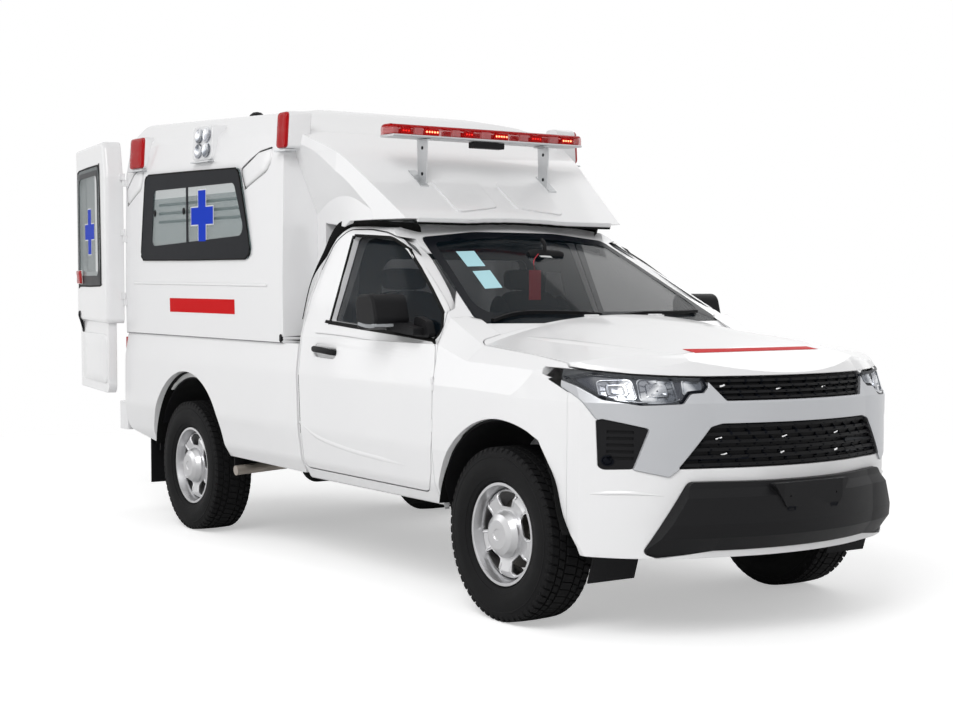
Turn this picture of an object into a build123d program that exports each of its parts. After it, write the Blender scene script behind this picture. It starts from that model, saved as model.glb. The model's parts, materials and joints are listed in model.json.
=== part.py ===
from build123d import *
import os
from functools import cache
from math import acos, sin, tan

# Ambulance: single-cab pickup chassis with a moulded patient capsule behind and over the cab.
# Millimetres.  +X forward, +Y to the vehicle's left, +Z up, ground at z = 0.
# Every station along X is measured from the front axle; the finished nodes are moved
# by model_shift, so that the origin lies on the ground under the middle of the whole length.

# ---------------------------------------------------------------- driving dimensions
wheelbase = 3096
track = 1570
tyre_radius = 374.5
tyre_width = 245
rim_radius = 220
rim_width = 190
bead_half = 84             # half the width between the rim's flanges
body_half = 937            # half the width over the doors
belt_z = 1165              # waist line of the cab
cab_rear_x = -1740
cab_front_x = -265         # firewall
roof_z = 1790              # crown of the cab roof at its rear
header_z = 1700            # crown of the cab roof over the windscreen
cab_wall = 60
panel = 25                 # bonnet and fender panels
glass = 6
shut_gap = 6               # gap round doors and lids
seat_gap = 0.3             # clearance between pieces that seat on each other
sill_z = 445
door_low_z = 506
bed_front_x = -1690
body_rear_x = -3935
bed_top_z = 1125
bed_wall = 55
capsule_low_z = bed_top_z + seat_gap
load_floor_z = 800
floor_thick = 45
capsule_wall = 45
roof_rear_z = 2456         # crown of the capsule roof at the rear
roof_front_z = 2376
rear_door_depth = 115      # depth of the door's moulded shell
rear_door_open = 80        # degrees, the right door as it stands
rear_door_low_z = 745
rear_door_top_z = 2300
kingpin_y = 690
rail_y = 400               # centre of a chassis rail
rail_w = 70
rail_h = 150
rail_z = 560               # underside of the rails
model_shift = 1954.3       # from the front axle to the middle of the whole length


fender_front_x = 436       # seam between fender and bumper
fender_rear_x = -452       # seam between fender and door
cab_gap = 14               # between the cab and the body behind and above it
guard_out = 62             # how far the bumper guard stands proud
plate_holes = 260          # spacing of the number plate's holes
plate_hole_z = 590
plate_hole_r = 4
plate_face_x = 944         # flat face that the number plate is bolted to
pin_play = 0.6             # room round a hinge's barrel
door_hinge = (-454.5, -935)          # hinge line of the right front door
door_hinge_r = 4.5
door_hinge_rows = [(775, 805), (960, 990)]          # body's half of each hinge, low and high
door_hinge_h = 30
rear_hinge = (body_rear_x - 5, -932)          # hinge line of the right rear door
rear_hinge_r = 8
rear_hinge_rows = [(1290, 1330), (1680, 1720), (2020, 2060)]
rear_hinge_h = 40
bonnet_hinge = (-264, 1290)          # hinge line of the bonnet: x, z
bonnet_hinge_r = 5
bonnet_hinge_y = (150, 190, 230)          # ends of the cab's half and of the bonnet's half


# ---------------------------------------------------------------- drawing helpers
def outline(rows):
    """Closed face from rows of (u, v, corner radius)."""
    corners = []
    count = len(rows)
    for i, (u, v, radius) in enumerate(rows):
        here = Vector(u, v)
        back = (Vector(*rows[i - 1][:2]) - here).normalized()
        ahead = (Vector(*rows[(i + 1) % count][:2]) - here).normalized()
        if radius:
            half = acos(max(-1, min(1, back.dot(ahead)))) / 2
            reach = radius / tan(half)
            middle = here + (back + ahead).normalized() * (radius / sin(half) - radius)
            corners.append((here + back * reach, middle, here + ahead * reach))
        else:
            corners.append((here, None, here))
    edges = []
    for i, (start, middle, end) in enumerate(corners):
        if middle is not None:
            edges.append(ThreePointArc(start, middle, end))
        following = corners[(i + 1) % count][0]
        if (following - end).length > 1e-4:
            edges.append(Line(end, following))
    return make_face(Wire(edges))


def mirrored(half_rows):
    """Rows for +u from bottom to top, completed with their mirror image."""
    return list(half_rows) + [(-u, v, r) for u, v, r in reversed(half_rows) if u != 0]


def across(face, y0, y1):
    """Face drawn in (x, z), extruded from y0 to y1."""
    side = Plane(origin=(0, y1, 0), x_dir=(1, 0, 0), z_dir=(0, -1, 0))
    return extrude(side * face, amount=y1 - y0)


def along(face, x0, x1):
    """Face drawn in (y, z), extruded from x0 to x1."""
    end = Plane(origin=(x0, 0, 0), x_dir=(0, 1, 0), z_dir=(1, 0, 0))
    return extrude(end * face, amount=x1 - x0)


def upright(face, z0, z1):
    """Face drawn in (x, y), extruded from z0 to z1."""
    return extrude(Pos(0, 0, z0) * face, amount=z1 - z0)


def block(x0, x1, y0, y1, z0, z1):
    return Pos((x0 + x1) / 2, (y0 + y1) / 2, (z0 + z1) / 2) * Box(x1 - x0, y1 - y0, z1 - z0)


def turned(rows, x, y, z):
    """Solid of revolution about a line along Y; rows are (y out, radius, corner radius)."""
    profile = outline([(out, radius, corner) for out, radius, corner in rows])
    lying = Plane(origin=(x, y, z), x_dir=(0, 1, 0), z_dir=(-1, 0, 0)) * profile
    return revolve(lying, Axis((x, y, z), (0, 1, 0)), 360)


def cross_pin(x, z, radius, y0, y1):
    return Pos(x, (y0 + y1) / 2, z) * Rot(90, 0, 0) * Cylinder(radius, y1 - y0)


def hinge_leaf(axis, z0, z1, radius, end_x):
    """Barrel on a right door's hinge line, with a flap that runs along X to end_x."""
    x, y = axis
    x0, x1 = sorted((x, end_x))
    barrel = Pos(x, y, (z0 + z1) / 2) * Cylinder(radius, z1 - z0)
    return barrel + block(x0, x1, y - radius / 2, y + 3 * radius, z0, z1)


def hinge_room(axis, z0, z1, radius):
    """Space that a hinge's barrel turns in."""
    return Pos(*axis, (z0 + z1) / 2) * Cylinder(radius + pin_play, z1 - z0 + 2 * seat_gap)


def both(shape):
    """The shape and its mirror image on the other side of the vehicle."""
    return Compound([*shape.solids(), *mirror(shape, about=Plane.XZ).solids()])


def flipped(shape):
    return mirror(shape, about=Plane.XZ)


# ---------------------------------------------------------------- master forms of the cab
def lower_rows(inset):
    """Half section of the body below the waist: (y, z, corner radius)."""
    return [
        (870 - inset, sill_z, 25),
        (918 - inset, 540, 90),
        (body_half - inset, 700, 350),
        (body_half - 3 - inset, 980, 300),
        (905 - inset, belt_z, 0),
    ]


def lower_cab(inset, x0, x1):
    return along(outline(mirrored(lower_rows(inset))), x0, x1)


@cache
def greenhouse(inset):
    """Tapered upper cab: one section at the rear wall and one at the foot of the windscreen."""
    sections = [
        # station, half width at waist, half width at roof, roof edge height, roof crown height
        (cab_rear_x - 45, 906, 731, 1726, roof_z),
        (cab_front_x - 5, 893, 560, 1652, header_z - 20),
    ]
    faces = []
    for x, waist, top, edge_z, crown_z in sections:
        waist, top, edge_z, crown_z = waist - inset, top - inset, edge_z - inset, crown_z - inset
        roof = ThreePointArc((top, edge_z), (0, crown_z), (-top, edge_z))
        rim = [Line((waist, belt_z), (top, edge_z)), roof,
               Line((-top, edge_z), (-waist, belt_z)), Line((-waist, belt_z), (waist, belt_z))]
        flat = Plane(origin=(x, 0, 0), x_dir=(0, 1, 0), z_dir=(1, 0, 0))
        faces.append(flat * make_face(Wire(rim)))
    solid = loft(faces, ruled=True)
    shoulders = [e for e in solid.edges()
                 if abs(e.center().Z - (1687 - inset)) < 25 and e.length > 1000]
    return fillet(shoulders, 75)


screen_foot_x = -285       # foot of the windscreen on the centre line
screen_foot_z = 1261
screen_bow = 120           # how far the foot bows forward of its ends
screen_foot_half = 723
screen_run = 751           # how far the glass runs back while it rises by screen_rise
screen_rise = 387


@cache
def behind_screen(back):
    """Everything behind the windscreen's outer face, moved back along the vehicle."""
    foot = screen_foot_x - back
    bow_at_side = screen_bow * 1.9
    arc = ThreePointArc((foot - bow_at_side, 997), (foot, 0), (foot - bow_at_side, -997))
    rim = Wire([arc, Line((foot - bow_at_side, -997), (-3400, -997)),
                Line((-3400, -997), (-3400, 997)), Line((-3400, 997), (foot - bow_at_side, 997))])
    base = Pos(0, 0, screen_foot_z - 600) * make_face(rim)
    base = Pos(screen_run * 600 / screen_rise, 0, 0) * base
    slant = (screen_run ** 2 + screen_rise ** 2) ** 0.5
    return extrude(base, amount=1400 * slant / screen_rise, dir=(-screen_run, 0, screen_rise))


# side view of the cab's outline, as (x, z, corner radius)
cab_rear_rows = [
    (-1672, sill_z, 20),
    (-1682, 720, 300),
    (-1716, 1108, 400),
    (-1738, 1330, 300),
    (-1712, 1500, 250),
    (-1662, 1645, 110),
    (-1570, 1722, 110),
    (-1420, 1800, 0),
]


def cab_side(gap, floor):
    """Side view of the cab grown backwards by a gap, cut off level with the floor."""
    rows = [(x - gap, z, r) for x, z, r in cab_rear_rows]
    above = [row for row in rows if row[1] > floor]
    foot = [row for row in rows if row[1] <= floor][-1]
    return outline([(foot[0], floor, 0)] + above + [(-1420, 2100, 0), (cab_front_x, 2100, 0), (cab_front_x, floor, 0)])


@cache
def cab_tube(inset, screen_back):
    """Outer form of the cab, or of its inside when inset, with no end at the rear."""
    upper = greenhouse(inset) & behind_screen(screen_back)
    return upper + lower_cab(inset, cab_rear_x - 45, cab_front_x)


@cache
def cab_form(inset, screen_back):
    return cab_tube(inset, screen_back) & across(cab_side(-inset, sill_z), -1000, 1000)


door_skin = 15             # outer part of the door's edge
door_step = 14             # how far the inner part of the edge stands back
glass_edge = 12            # how far the door's glass runs into its slot
# side views of the door: (x, z, corner radius)
door_rows = [
    (-1658, door_low_z, 30),
    (-515, door_low_z - 4, 70),
    (-478, 600, 200),
    (-458, 740, 300),
    (-457, 1060, 300),
    (-487, 1215, 150),
    (-530, 1312, 60),
    (-690, 1415, 900),
    (-955, 1572, 500),
    (-1110, 1640, 250),
    (-1250, 1678, 400),
    (-1400, 1697, 400),
    (-1560, 1699, 90),
    (-1645, 1640, 110),
    (-1698, 1490, 250),
    (-1722, 1330, 300),
    (-1702, 1105, 400),
    (-1668, 720, 300),
]
window_rows = [
    (-1466, 1247, 12),
    (-500, 1188, 25),
    (-512, 1240, 60),
    (-560, 1300, 60),
    (-885, 1497, 900),
    (-1055, 1598, 300),
    (-1200, 1648, 250),
    (-1505, 1664, 20),
    (-1484, 1448, 900),
]


# side view of the capsule's window: (x, z, corner radius)
side_window_rows = [
    (-3682, 1563, 45),
    (-2206, 1558, 60),
    (-2367, 2050, 60),
    (-3606, 2072, 60),
]


def grown(rows, amount):
    """Face of the rows, grown outwards (or shrunk, when negative) by the amount."""
    return offset(outline(rows), amount, kind=Kind.INTERSECTION)


# ---------------------------------------------------------------- front body
nose_sections = [
    # station, then (y, z) of side, shoulder, edge, bonnet edge and crown
    (-470, (937, 760), (934, 985), (905, 1168), (840, 1292), (0, 1306)),
    (-230, (937, 760), (933, 985), (905, 1100), (815, 1165), (0, 1292)),
    (600, (937, 760), (930, 960), (903, 1072), (855, 1110), (0, 1168)),
]
front_plan_rows = [
    # (y, x) of the face of the car's nose, in plan, at bumper height
    (430, 812),
    (700, 672),
    (856, 490),
    (925, 200),
]
nose_tip_x = 887


def front_plan(back, half=None):
    """Plan of the nose, moved back; closed at the firewall."""
    (y1, x1), (y2, x2), (y3, x3), (y4, x4) = front_plan_rows
    tip = nose_tip_x - back
    x1, x2, x3, x4 = x1 - back, x2 - back, x3 - back, x4 - back
    corner_mid = (x2 + 4, y2 + 4)
    edges = [
        ThreePointArc((x1, -y1), (tip, 0), (x1, y1)),
        ThreePointArc((x1, y1), corner_mid, (x3, y3)),
        ThreePointArc((x3, y3), (x4 + 60, y4 - 12), (x4 - 140, body_half + 1)),
        Line((x4 - 140, body_half + 1), (-900, body_half + 1)),
        Line((-900, body_half + 1), (-900, -body_half - 1)),
        Line((-900, -body_half - 1), (x4 - 140, -body_half - 1)),
        ThreePointArc((x4 - 140, -body_half - 1), (x4 + 60, -y4 + 12), (x3, -y3)),
        ThreePointArc((x3, -y3), (corner_mid[0], -corner_mid[1]), (x1, -y1)),
    ]
    return make_face(Wire(edges))


nose_lean = [
    # how far the face of the nose leans back: height, distance
    (290, 0), (965, 0), (1068, 42), (1110, 80), (1410, 380),
]


@cache
def plan_prism(back):
    """Everything behind the nose's leaning face."""
    return loft([Pos(0, 0, z) * front_plan(back + lean) for z, lean in nose_lean], ruled=True)


@cache
def corner_roll(inset):
    """Everything under the two front corners of the bonnet, which roll down to the lamps."""
    edges = [ThreePointArc((20, 1062 - inset), (-120, 1127 - inset), (-373, 1181 - inset)),
             Line((-373, 1181 - inset), (-900, 1345)), Line((-900, 1345), (-2600, 1345)),
             Line((-2600, 1345), (-2600, 290)),
             Line((-2600, 290), (20, 290)), Line((20, 290), (20, 1062 - inset))]
    corner = Plane(origin=(676, 704, 0), x_dir=(0.794, 0.608, 0), z_dir=(0.608, -0.794, 0))
    left = extrude(corner * make_face(Wire(edges)), amount=2400, both=True)
    return left & flipped(left)


@cache
def nose_form(inset, back):
    """Form of the bonnet and fenders: two sections, cut by the plan and by the bonnet's fall."""
    faces = []
    for x, *corners in nose_sections:
        side, shoulder, edge, bonnet_edge, crown = corners
        pts = [(y - inset, z - (0 if z < 900 else inset)) for y, z in (side, shoulder, edge, bonnet_edge)]
        top = crown[1] - inset
        rim = [Line((pts[0][0], 330), pts[0])]
        rim += [Line(pts[i], pts[i + 1]) for i in range(3)]
        rim.append(ThreePointArc(pts[3], (0, top), (-pts[3][0], pts[3][1])))
        rim += [Line((-pts[i + 1][0], pts[i + 1][1]), (-pts[i][0], pts[i][1])) for i in (2, 1, 0)]
        rim += [Line((-pts[0][0], pts[0][1]), (-pts[0][0], 330)),
                Line((-pts[0][0], 330), (pts[0][0], 330))]
        flat = Plane(origin=(x, 0, 0), x_dir=(0, 1, 0), z_dir=(1, 0, 0))
        faces.append(flat * make_face(Wire(rim)))
    solid = loft(faces, ruled=True)
    front = faces[-1]
    # the front section carried on to the tip
    ahead = extrude(front, amount=400, dir=(1, 0, 0))
    fall = Wire([
        Line((-700, 330), (-700, 1330 - inset)),
        Line((-700, 1330 - inset), (-250, 1298 - inset)),
        ThreePointArc((-250, 1298 - inset), (430, 1210 - inset), (1000, 1006 - inset)),
        Line((1000, 1006 - inset), (1000, 330)),
        Line((1000, 330), (-700, 330)),
    ])
    solid = solid + ahead
    taper = [(835 - inset, 330, 40), (870 - inset, sill_z, 0), (918 - inset, 540, 90),
             (body_half - inset, 700, 350), (960, 1000, 0), (960, 1400, 0)]
    solid = solid & along(outline(mirrored(taper)), -700, 1000)
    return solid & across(make_face(fall), -1000, 1000) & plan_prism(back) & corner_roll(inset)


# ---------------------------------------------------------------- master forms of the body behind the cab
capsule_rows = [
    # half section: y, z at the rear, z at the front end, corner radius
    (922, capsule_low_z, capsule_low_z, 0),
    (927, 1425, 1425, 0),
    (916, 2085, 2085, 100),
    (876, 2290, 2215, 100),
    (770, 2405, 2318, 120),
    (450, 2446, 2362, 600),
]
capsule_front_x = -1875
capsule_front_sections = [
    # station, half width at the cab's roof, half width at the capsule's roof
    (-1875, 927, 800),
    (-1600, 802, 640),
    (-1040, 652, 410),
]
lip_x = -1050              # front lip of the fairing, over the windscreen
lip_z = 1712
roof_rows = [
    # side view of the roof: (x, z, corner radius)
    (body_rear_x, roof_rear_z, 60),
    (-2950, 2436, 4000),
    (-2250, roof_front_z, 700),
    (-1600, 2098, 900),
    (lip_x, lip_z, 25),
]


def under_roof(inset):
    rows = [(x, z - inset, r) for x, z, r in roof_rows]
    rows[0] = (rows[0][0] + inset, rows[0][1], rows[0][2])
    rows[-1] = (rows[-1][0] - inset, rows[-1][1], rows[-1][2])
    rows = [(rows[0][0], 900, 0)] + rows + [(rows[-1][0], 900, 0)]
    return across(outline(rows), -1000, 1000)


@cache
def capsule_form(inset, x0, x1):
    """Capsule with a crowned roof that falls towards the front, cut to a stretch."""
    faces = []
    for x, front in ((body_rear_x - 120, False), (capsule_front_x + 20, True)):
        rows = []
        for y, rear_z, front_z, r in capsule_rows:
            z = front_z if front else rear_z
            rows.append((y - inset, z - (inset if z > 2300 else 0), r))
        flat = Plane(origin=(x, 0, 0), x_dir=(0, 1, 0), z_dir=(1, 0, 0))
        faces.append(flat * outline(mirrored(rows)))
    return loft(faces, ruled=True) & under_roof(inset) & block(x0, x1, -1000, 1000, 900, 2600)


@cache
def fairing_form(inset):
    """Tapered form between the capsule and the lip over the windscreen."""
    faces = []
    for x, low, high in capsule_front_sections:
        low, high = low - inset, high - inset
        mid = low - 0.25 * (low - high)
        rows = [(low, capsule_low_z, 0), (low, 1720, 0), (mid, 2100, 0), (high, 2450, 0)]
        flat = Plane(origin=(x, 0, 0), x_dir=(0, 1, 0), z_dir=(1, 0, 0))
        faces.append(flat * outline(mirrored(rows)))
    return loft(faces, ruled=True) & under_roof(inset)


# ---------------------------------------------------------------- running gear
tyre_rows = [
    # half section of the tyre: distance out from its middle plane, radius
    (bead_half - seat_gap, 209 + seat_gap), (bead_half - seat_gap, rim_radius + 1), (tyre_width / 2, 296),
    (101, 362), (70, tyre_radius),
]


def tyre(x, side):
    """Radial tyre: bead, bulging wall, shoulder and crown; side is +1 on the left."""
    rows = [(-out, radius, 0) for out, radius in tyre_rows] + [(out, radius, 0) for out, radius in tyre_rows[::-1]]
    return turned(rows, x, side * track / 2, tyre_radius)


disc_rows = [
    # face of the wheel: distance out from its middle plane, radius
    (16, 196), (52, 188), (74, 160), (66, 112), (66, 33),
]
disc_thick = 8
window_count = 5
bore_r = 33
hub_face = 66 - disc_thick - seat_gap      # where the hub seats the disc, out from the middle plane
spigot_r = bore_r - 0.5
spring_y = 510
drum_face = 12             # drum's outer face, inboard of the wheel's middle plane


def rim(x, side):
    """Wheel: rolled barrel, domed face with five windows between broad spokes, large hub cap."""
    barrel = [
        (-95, 208, 0), (-95, 220, 0), (-84, 220, 0), (-84, 209, 0), (84, 209, 0), (84, 220, 0), (95, 220, 0),
        (95, 208, 0), (50, 195, 0), (-50, 195, 0),
    ]
    disc = [(out, radius + (4 if radius > 190 else 0), 0) for out, radius in disc_rows]
    disc += [(out - disc_thick, radius, 0) for out, radius in reversed(disc_rows)]
    cap = [(65, 0, 0), (65, 103, 0), (80, 101, 0), (104, 86, 0), (118, 62, 0), (118, 26, 0), (114, 22, 0), (114, 0, 0)]
    body = turned(barrel, 0, 0, 0) + turned(disc, 0, 0, 0) + turned(cap, 0, 0, 0)
    window = extrude(Plane(origin=(0, 30, 0), x_dir=(1, 0, 0), z_dir=(0, 1, 0)) *
                     outline([(-33, 116, 12), (33, 116, 12), (64, 172, 16), (0, 184, 180), (-64, 172, 16)]), amount=70)
    for turn in range(window_count):
        body -= Rot(0, (turn + 0.5) * 360 / window_count, 0) * window
    if side < 0:
        body = Rot(0, 0, 180) * body
    return Pos(x, side * track / 2, tyre_radius) * body


# ---------------------------------------------------------------- pieces of the cab
screen_rows = [
    # front view of the windscreen: (y, z, corner radius)
    (screen_foot_half + 8, 1256, 25),
    (565, 1658, 45),
    (250, 1690, 900),
]
arch_x, arch_r = 40, 495           # front wheel opening
rear_arch_x, rear_arch_r = -3060, 525
rear_opening_z, rear_opening_r = 430, 493       # round opening in the body's side
bumper_wall = 30
firewall = 35
cab_floor_z = 650


def cab_shell():
    outer = cab_form(0, 0)
    room = cab_form(cab_wall, 55) & block(-1900, cab_front_x - firewall, -1000, 1000, cab_floor_z, 2000)
    for side in (-1, 1):
        y0, y1 = sorted((side * 450, side * 1000))
        room -= cross_pin(arch_x, tyre_radius, arch_r + 30, y0, y1)
    shell = outer - room - block(-1900, 0, -790, 790, 400, cab_floor_z - 30)
    opening = across(grown(door_rows, shut_gap), -1000, -600)
    shell -= opening + flipped(opening)
    shell -= along(grown(mirrored(screen_rows), seat_gap), -1165, 0)
    shell -= along(outline([(-460, 1230, 60), (460, 1230, 60), (460, 1560, 60), (-460, 1560, 60)]), -1900, -1500)
    covered = block(fender_rear_x - shut_gap / 2, 0, -1000, 1000, 300, belt_z + 1)
    shell -= covered - nose_form(panel + seat_gap, 60)
    shell -= fender_zone(seat_gap)
    for side in (-1, 1):
        y0, y1 = sorted((side * 480, side * 1000))
        shell -= cross_pin(arch_x, tyre_radius, arch_r, y0, y1)
    shell = largest(shell)
    x, z = bonnet_hinge
    y0, y1, _ = bonnet_hinge_y
    tab = cross_pin(x, z, bonnet_hinge_r, y0, y1) + block(x - 11, x + 2, y0, y1, z - 65, z)
    return largest(shell + tab + flipped(tab))


def largest(shape):
    return max(shape.solids(), key=lambda solid: solid.volume)


def windscreen():
    glazed = behind_screen(2) - behind_screen(2 + glass * 2)
    return largest(glazed & along(outline(mirrored(screen_rows)), -1165, 0))


def front_door():
    """Right front door with its window cut."""
    shell = cab_form(0, 0) - cab_tube(cab_wall, 0)
    leaf = shell & across(outline(door_rows), -1000, -600)
    step = across(outline(door_rows), -1000, -600) - across(grown(door_rows, -door_step), -1000, -600)
    leaf = largest(leaf - (step & cab_tube(door_skin, 0)))
    leaf -= across(outline(window_rows), -1000, -600)
    inner, outer = cab_wall / 2 + 3 + seat_gap, cab_wall / 2 - 3 - seat_gap
    slot = cab_tube(outer, 0) - cab_tube(inner, 0)
    leaf -= slot & across(grown(window_rows, glass_edge + seat_gap), -1000, -600)
    grip = outline([(-1560, 1068, 30), (-1340, 1062, 30), (-1340, 1128, 30), (-1560, 1136, 30)])
    leaf -= across(grip, -1000, -905)
    for z0, z1 in door_hinge_rows:
        leaf -= hinge_room(door_hinge, z0, z1 + door_hinge_h, door_hinge_r)
        leaf += hinge_leaf(door_hinge, z1 + seat_gap, z1 + door_hinge_h, door_hinge_r, door_hinge[0] - 9)
    return largest(leaf)


def door_glass():
    pane = cab_tube(cab_wall / 2 - 3, 0) - cab_tube(cab_wall / 2 + 3, 0)
    return largest(pane & across(grown(window_rows, glass_edge), -1000, -600))


def mirror_unit():
    """Right door mirror: foot on the window's front corner, arm and rounded shell."""
    shell = across(outline([(-905, 1216, 30), (-925, 1378, 45), (-765, 1388, 55), (-722, 1236, 40)]), -1058, -880)
    shell = fillet(shell.edges().group_by(Axis.Y)[0], 14)
    foot = across(outline([(-650, 1193, 15), (-520, 1192, 15), (-552, 1266, 20), (-650, 1290, 20)]), -905, -868)
    arm = across(outline([(-800, 1218, 10), (-570, 1200, 10), (-570, 1236, 10), (-800, 1262, 10)]), -960, -872)
    unit = shell + arm + foot
    return largest(unit - cab_form(-seat_gap, 0))


# ---------------------------------------------------------------- pieces of the nose
lamp_rows = [
    (452, 1063, 10), (440, 1030, 12), (466, 1006, 10), (520, 1003, 25), (556, 964, 25),
    (700, 957, 60), (806, 978, 30), (890, 1066, 8), (905, 1101, 0), (806, 1087, 0), (700, 1074, 0), (580, 1067, 0),
]
upper_grille_rows = [(0, 974, 0), (380, 974, 8), (433, 1046, 3), (439, 1063, 3), (0, 1063, 0)]
# drawn over its neighbours' edges, which cut it back
band_rows = [
    (0, 977, 0), (384, 977, 6), (436, 1046, 0), (444, 1024, 6), (470, 1009, 10), (524, 1006, 25), (560, 968, 25),
    (700, 961, 60), (802, 980, 20), (898, 1072, 5), (818, 900, 12), (675, 860, 12), (723, 704, 10),
    (606, 676, 10), (574, 702, 8), (444, 868, 25), (400, 881, 60), (0, 884, 0),
]
lower_grille_rows = [(0, 706, 0), (577, 706, 6), (447, 872, 22), (400, 885, 60), (0, 888, 0)]
pod_rows = [(818, 906, 12), (671, 866, 12), (719, 706, 10), (812, 700, 20)]
guard_rows = [(0, 650, 0), (205, 652, 8), (534, 656, 30), (690, 372, 20), (640, 352, 15), (430, 378, 0), (0, 366, 0)]
bonnet_plan = [
    # half plan of the bonnet: (x, y, corner radius)
    (-259, 803, 25), (-150, 800, 200), (430, 848, 0), (500, 900, 0),
]


bonnet_edge = [
    # height of the bonnet's front edge: (y, z)
    (434, 1070), (580, 1074), (700, 1081), (806, 1094), (870, 1110), (960, 1112),
]


def front_view(rows, x0=400, grow=0):
    """Prism seen from the front, on both sides when the rows leave the centre line."""
    crossing = rows[0][0] == 0
    face = outline(mirrored([row for row in rows if row[0] != 0]) if crossing else rows)
    if grow:
        face = offset(face, grow, kind=Kind.INTERSECTION)
    prism = along(face, x0, 1100)
    return prism if crossing else prism + flipped(prism)


# side view of what the front wheel's opening leaves standing ahead of the wheel: (x, z, corner radius)
arch_front_rows = [
    (-700, 200, 0), (520, 200, 0), (480, 385, 0), (418, 510, 300), (385, 645, 300), (290, 800, 0), (100, 900, 0),
    (-700, 900, 0),
]


def wheel_openings(front_only=False):
    """Prisms that cut the wheel openings out of the body's sides."""
    cut = cross_pin(arch_x, tyre_radius, arch_r, 640, 1000) & across(outline(arch_front_rows), 600, 1000)
    cuts = [cut, flipped(cut)]
    if not front_only:
        cut = cross_pin(rear_arch_x, rear_opening_z, rear_opening_r, 640, 1000)
        cut += cross_pin(rear_arch_x, tyre_radius, rear_arch_r - 9, 640, 872)
        cuts += [cut, flipped(cut)]
    return cuts


def bonnet_prism(gap):
    """Plan of the bonnet, above the lamps' upper edge."""
    half = bonnet_plan
    plan = outline(half + [(900, 930, 0), (900, -930, 0)] + [(x, -y, r) for x, y, r in reversed(half)])
    if gap:
        plan = offset(plan, gap, kind=Kind.INTERSECTION)
    rows = [(y, z - gap, 0) for y, z in bonnet_edge]
    face = outline([(960, 1400, 0)] + rows[::-1] + [(-y, z, r) for y, z, r in rows] + [(-960, 1400, 0)])
    return upright(plan, 900, 1400) & along(face, -400, 1000)


@cache
def fender_zone(gap):
    """Skin of both fenders, grown by a gap, notched round the foot of the windscreen."""
    zone = nose_form(-gap, -gap) - nose_form(panel + gap, 60 + gap)
    reach = block(fender_rear_x - gap, fender_front_x + gap, 700 - gap, 1000, 300, 1286 + gap)
    zone &= reach + flipped(reach)
    return zone - (behind_screen(gap - shut_gap) & block(-700, -200, -745, 745, 1200, 1400))


def nose_layer(out, depth):
    """Upright layer of the nose's face, from out in front of the plan to depth behind it."""
    return plan_prism(-out) - plan_prism(depth)


def front_fenders():
    skin = fender_zone(0) & block(-1000, 1000, -1000, 0, 0, 2000)
    skin -= bonnet_prism(shut_gap)
    skin -= front_view(lamp_rows, 300, 2)
    skin -= front_view(band_rows, 300, 2)
    for cut in wheel_openings(front_only=True):
        skin -= cut
    skin = largest(skin)
    for z0, z1 in door_hinge_rows:
        skin -= hinge_room(door_hinge, z0, z1 + door_hinge_h, door_hinge_r)
        skin += hinge_leaf(door_hinge, z0, z1, door_hinge_r, fender_rear_x + 8)
    return both(largest(skin))


def bonnet():
    lid = largest((nose_form(0, 0) - nose_form(panel, 40)) & bonnet_prism(0))
    x, z = bonnet_hinge
    y0, y1, y2 = bonnet_hinge_y
    room = cross_pin(x, z, bonnet_hinge_r + pin_play, y0 - seat_gap, y1 + seat_gap)
    knuckle_half = cross_pin(x, z, bonnet_hinge_r, y1 + seat_gap, y2)
    knuckle_half += block(x, x + 20, y1 + seat_gap, y2, z - 18, z + 1)
    return largest(lid - room - flipped(room) + knuckle_half + flipped(knuckle_half))


def front_bumper():
    """White lower face with openings for the lamps, band, grilles, pods and guard."""
    shell = nose_form(0, 0) - nose_form(bumper_wall, 45)
    shell &= block(fender_front_x + seat_gap, 1000, -1000, 1000, 350, 1062)
    for rows in (band_rows, lamp_rows, lower_grille_rows, upper_grille_rows, guard_rows, pod_rows):
        shell -= front_view(rows, 300, seat_gap)
    for cut in wheel_openings(front_only=True):
        shell -= cut
    return largest(shell)


def headlamps():
    return (nose_form(0, 0) - nose_form(0, 60)) & front_view(lamp_rows)


def grille_band():
    """Silver band that frames the grilles and runs down to two feet."""
    band = nose_layer(8, 30) & front_view(band_rows)
    for rows in (lamp_rows, upper_grille_rows, lower_grille_rows, pod_rows):
        band -= front_view(rows, 300, seat_gap)
    return largest(band)


def grille():
    """Black grilles of stepped slats over a backing, with louvred corner pods."""
    parts = []
    for rows, slats in ((upper_grille_rows, 4), (lower_grille_rows, 6)):
        low = min(row[1] for row in rows)
        high = max(row[1] for row in rows)
        field = front_view(rows)
        bars = nose_layer(-22, 36)
        pitch = (high - low) / slats
        for row in range(slats):
            z = low + pitch * row
            bars += (nose_layer(-6, 30) & block(400, 1000, -700, 700, z + 0.25 * pitch, z + 0.7 * pitch))
        parts += (bars & field).solids()
    pod = nose_layer(-2, 22) & front_view(pod_rows)
    for step in range(5):
        z = 742 + step * 26
        pod -= nose_layer(0, 12) & (block(400, 1000, 715, 790, z, z + 12) + block(400, 1000, -790, -715, z, z + 12))
    return Compound(parts + pod.solids())


guard_levels = [
    # section of the guard: height, how far it stands out of the bumper's face
    (345, -22), (436, guard_out - 10), (490, guard_out), (596, guard_out - 6), (630, 30), (662, 22),
]


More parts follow.
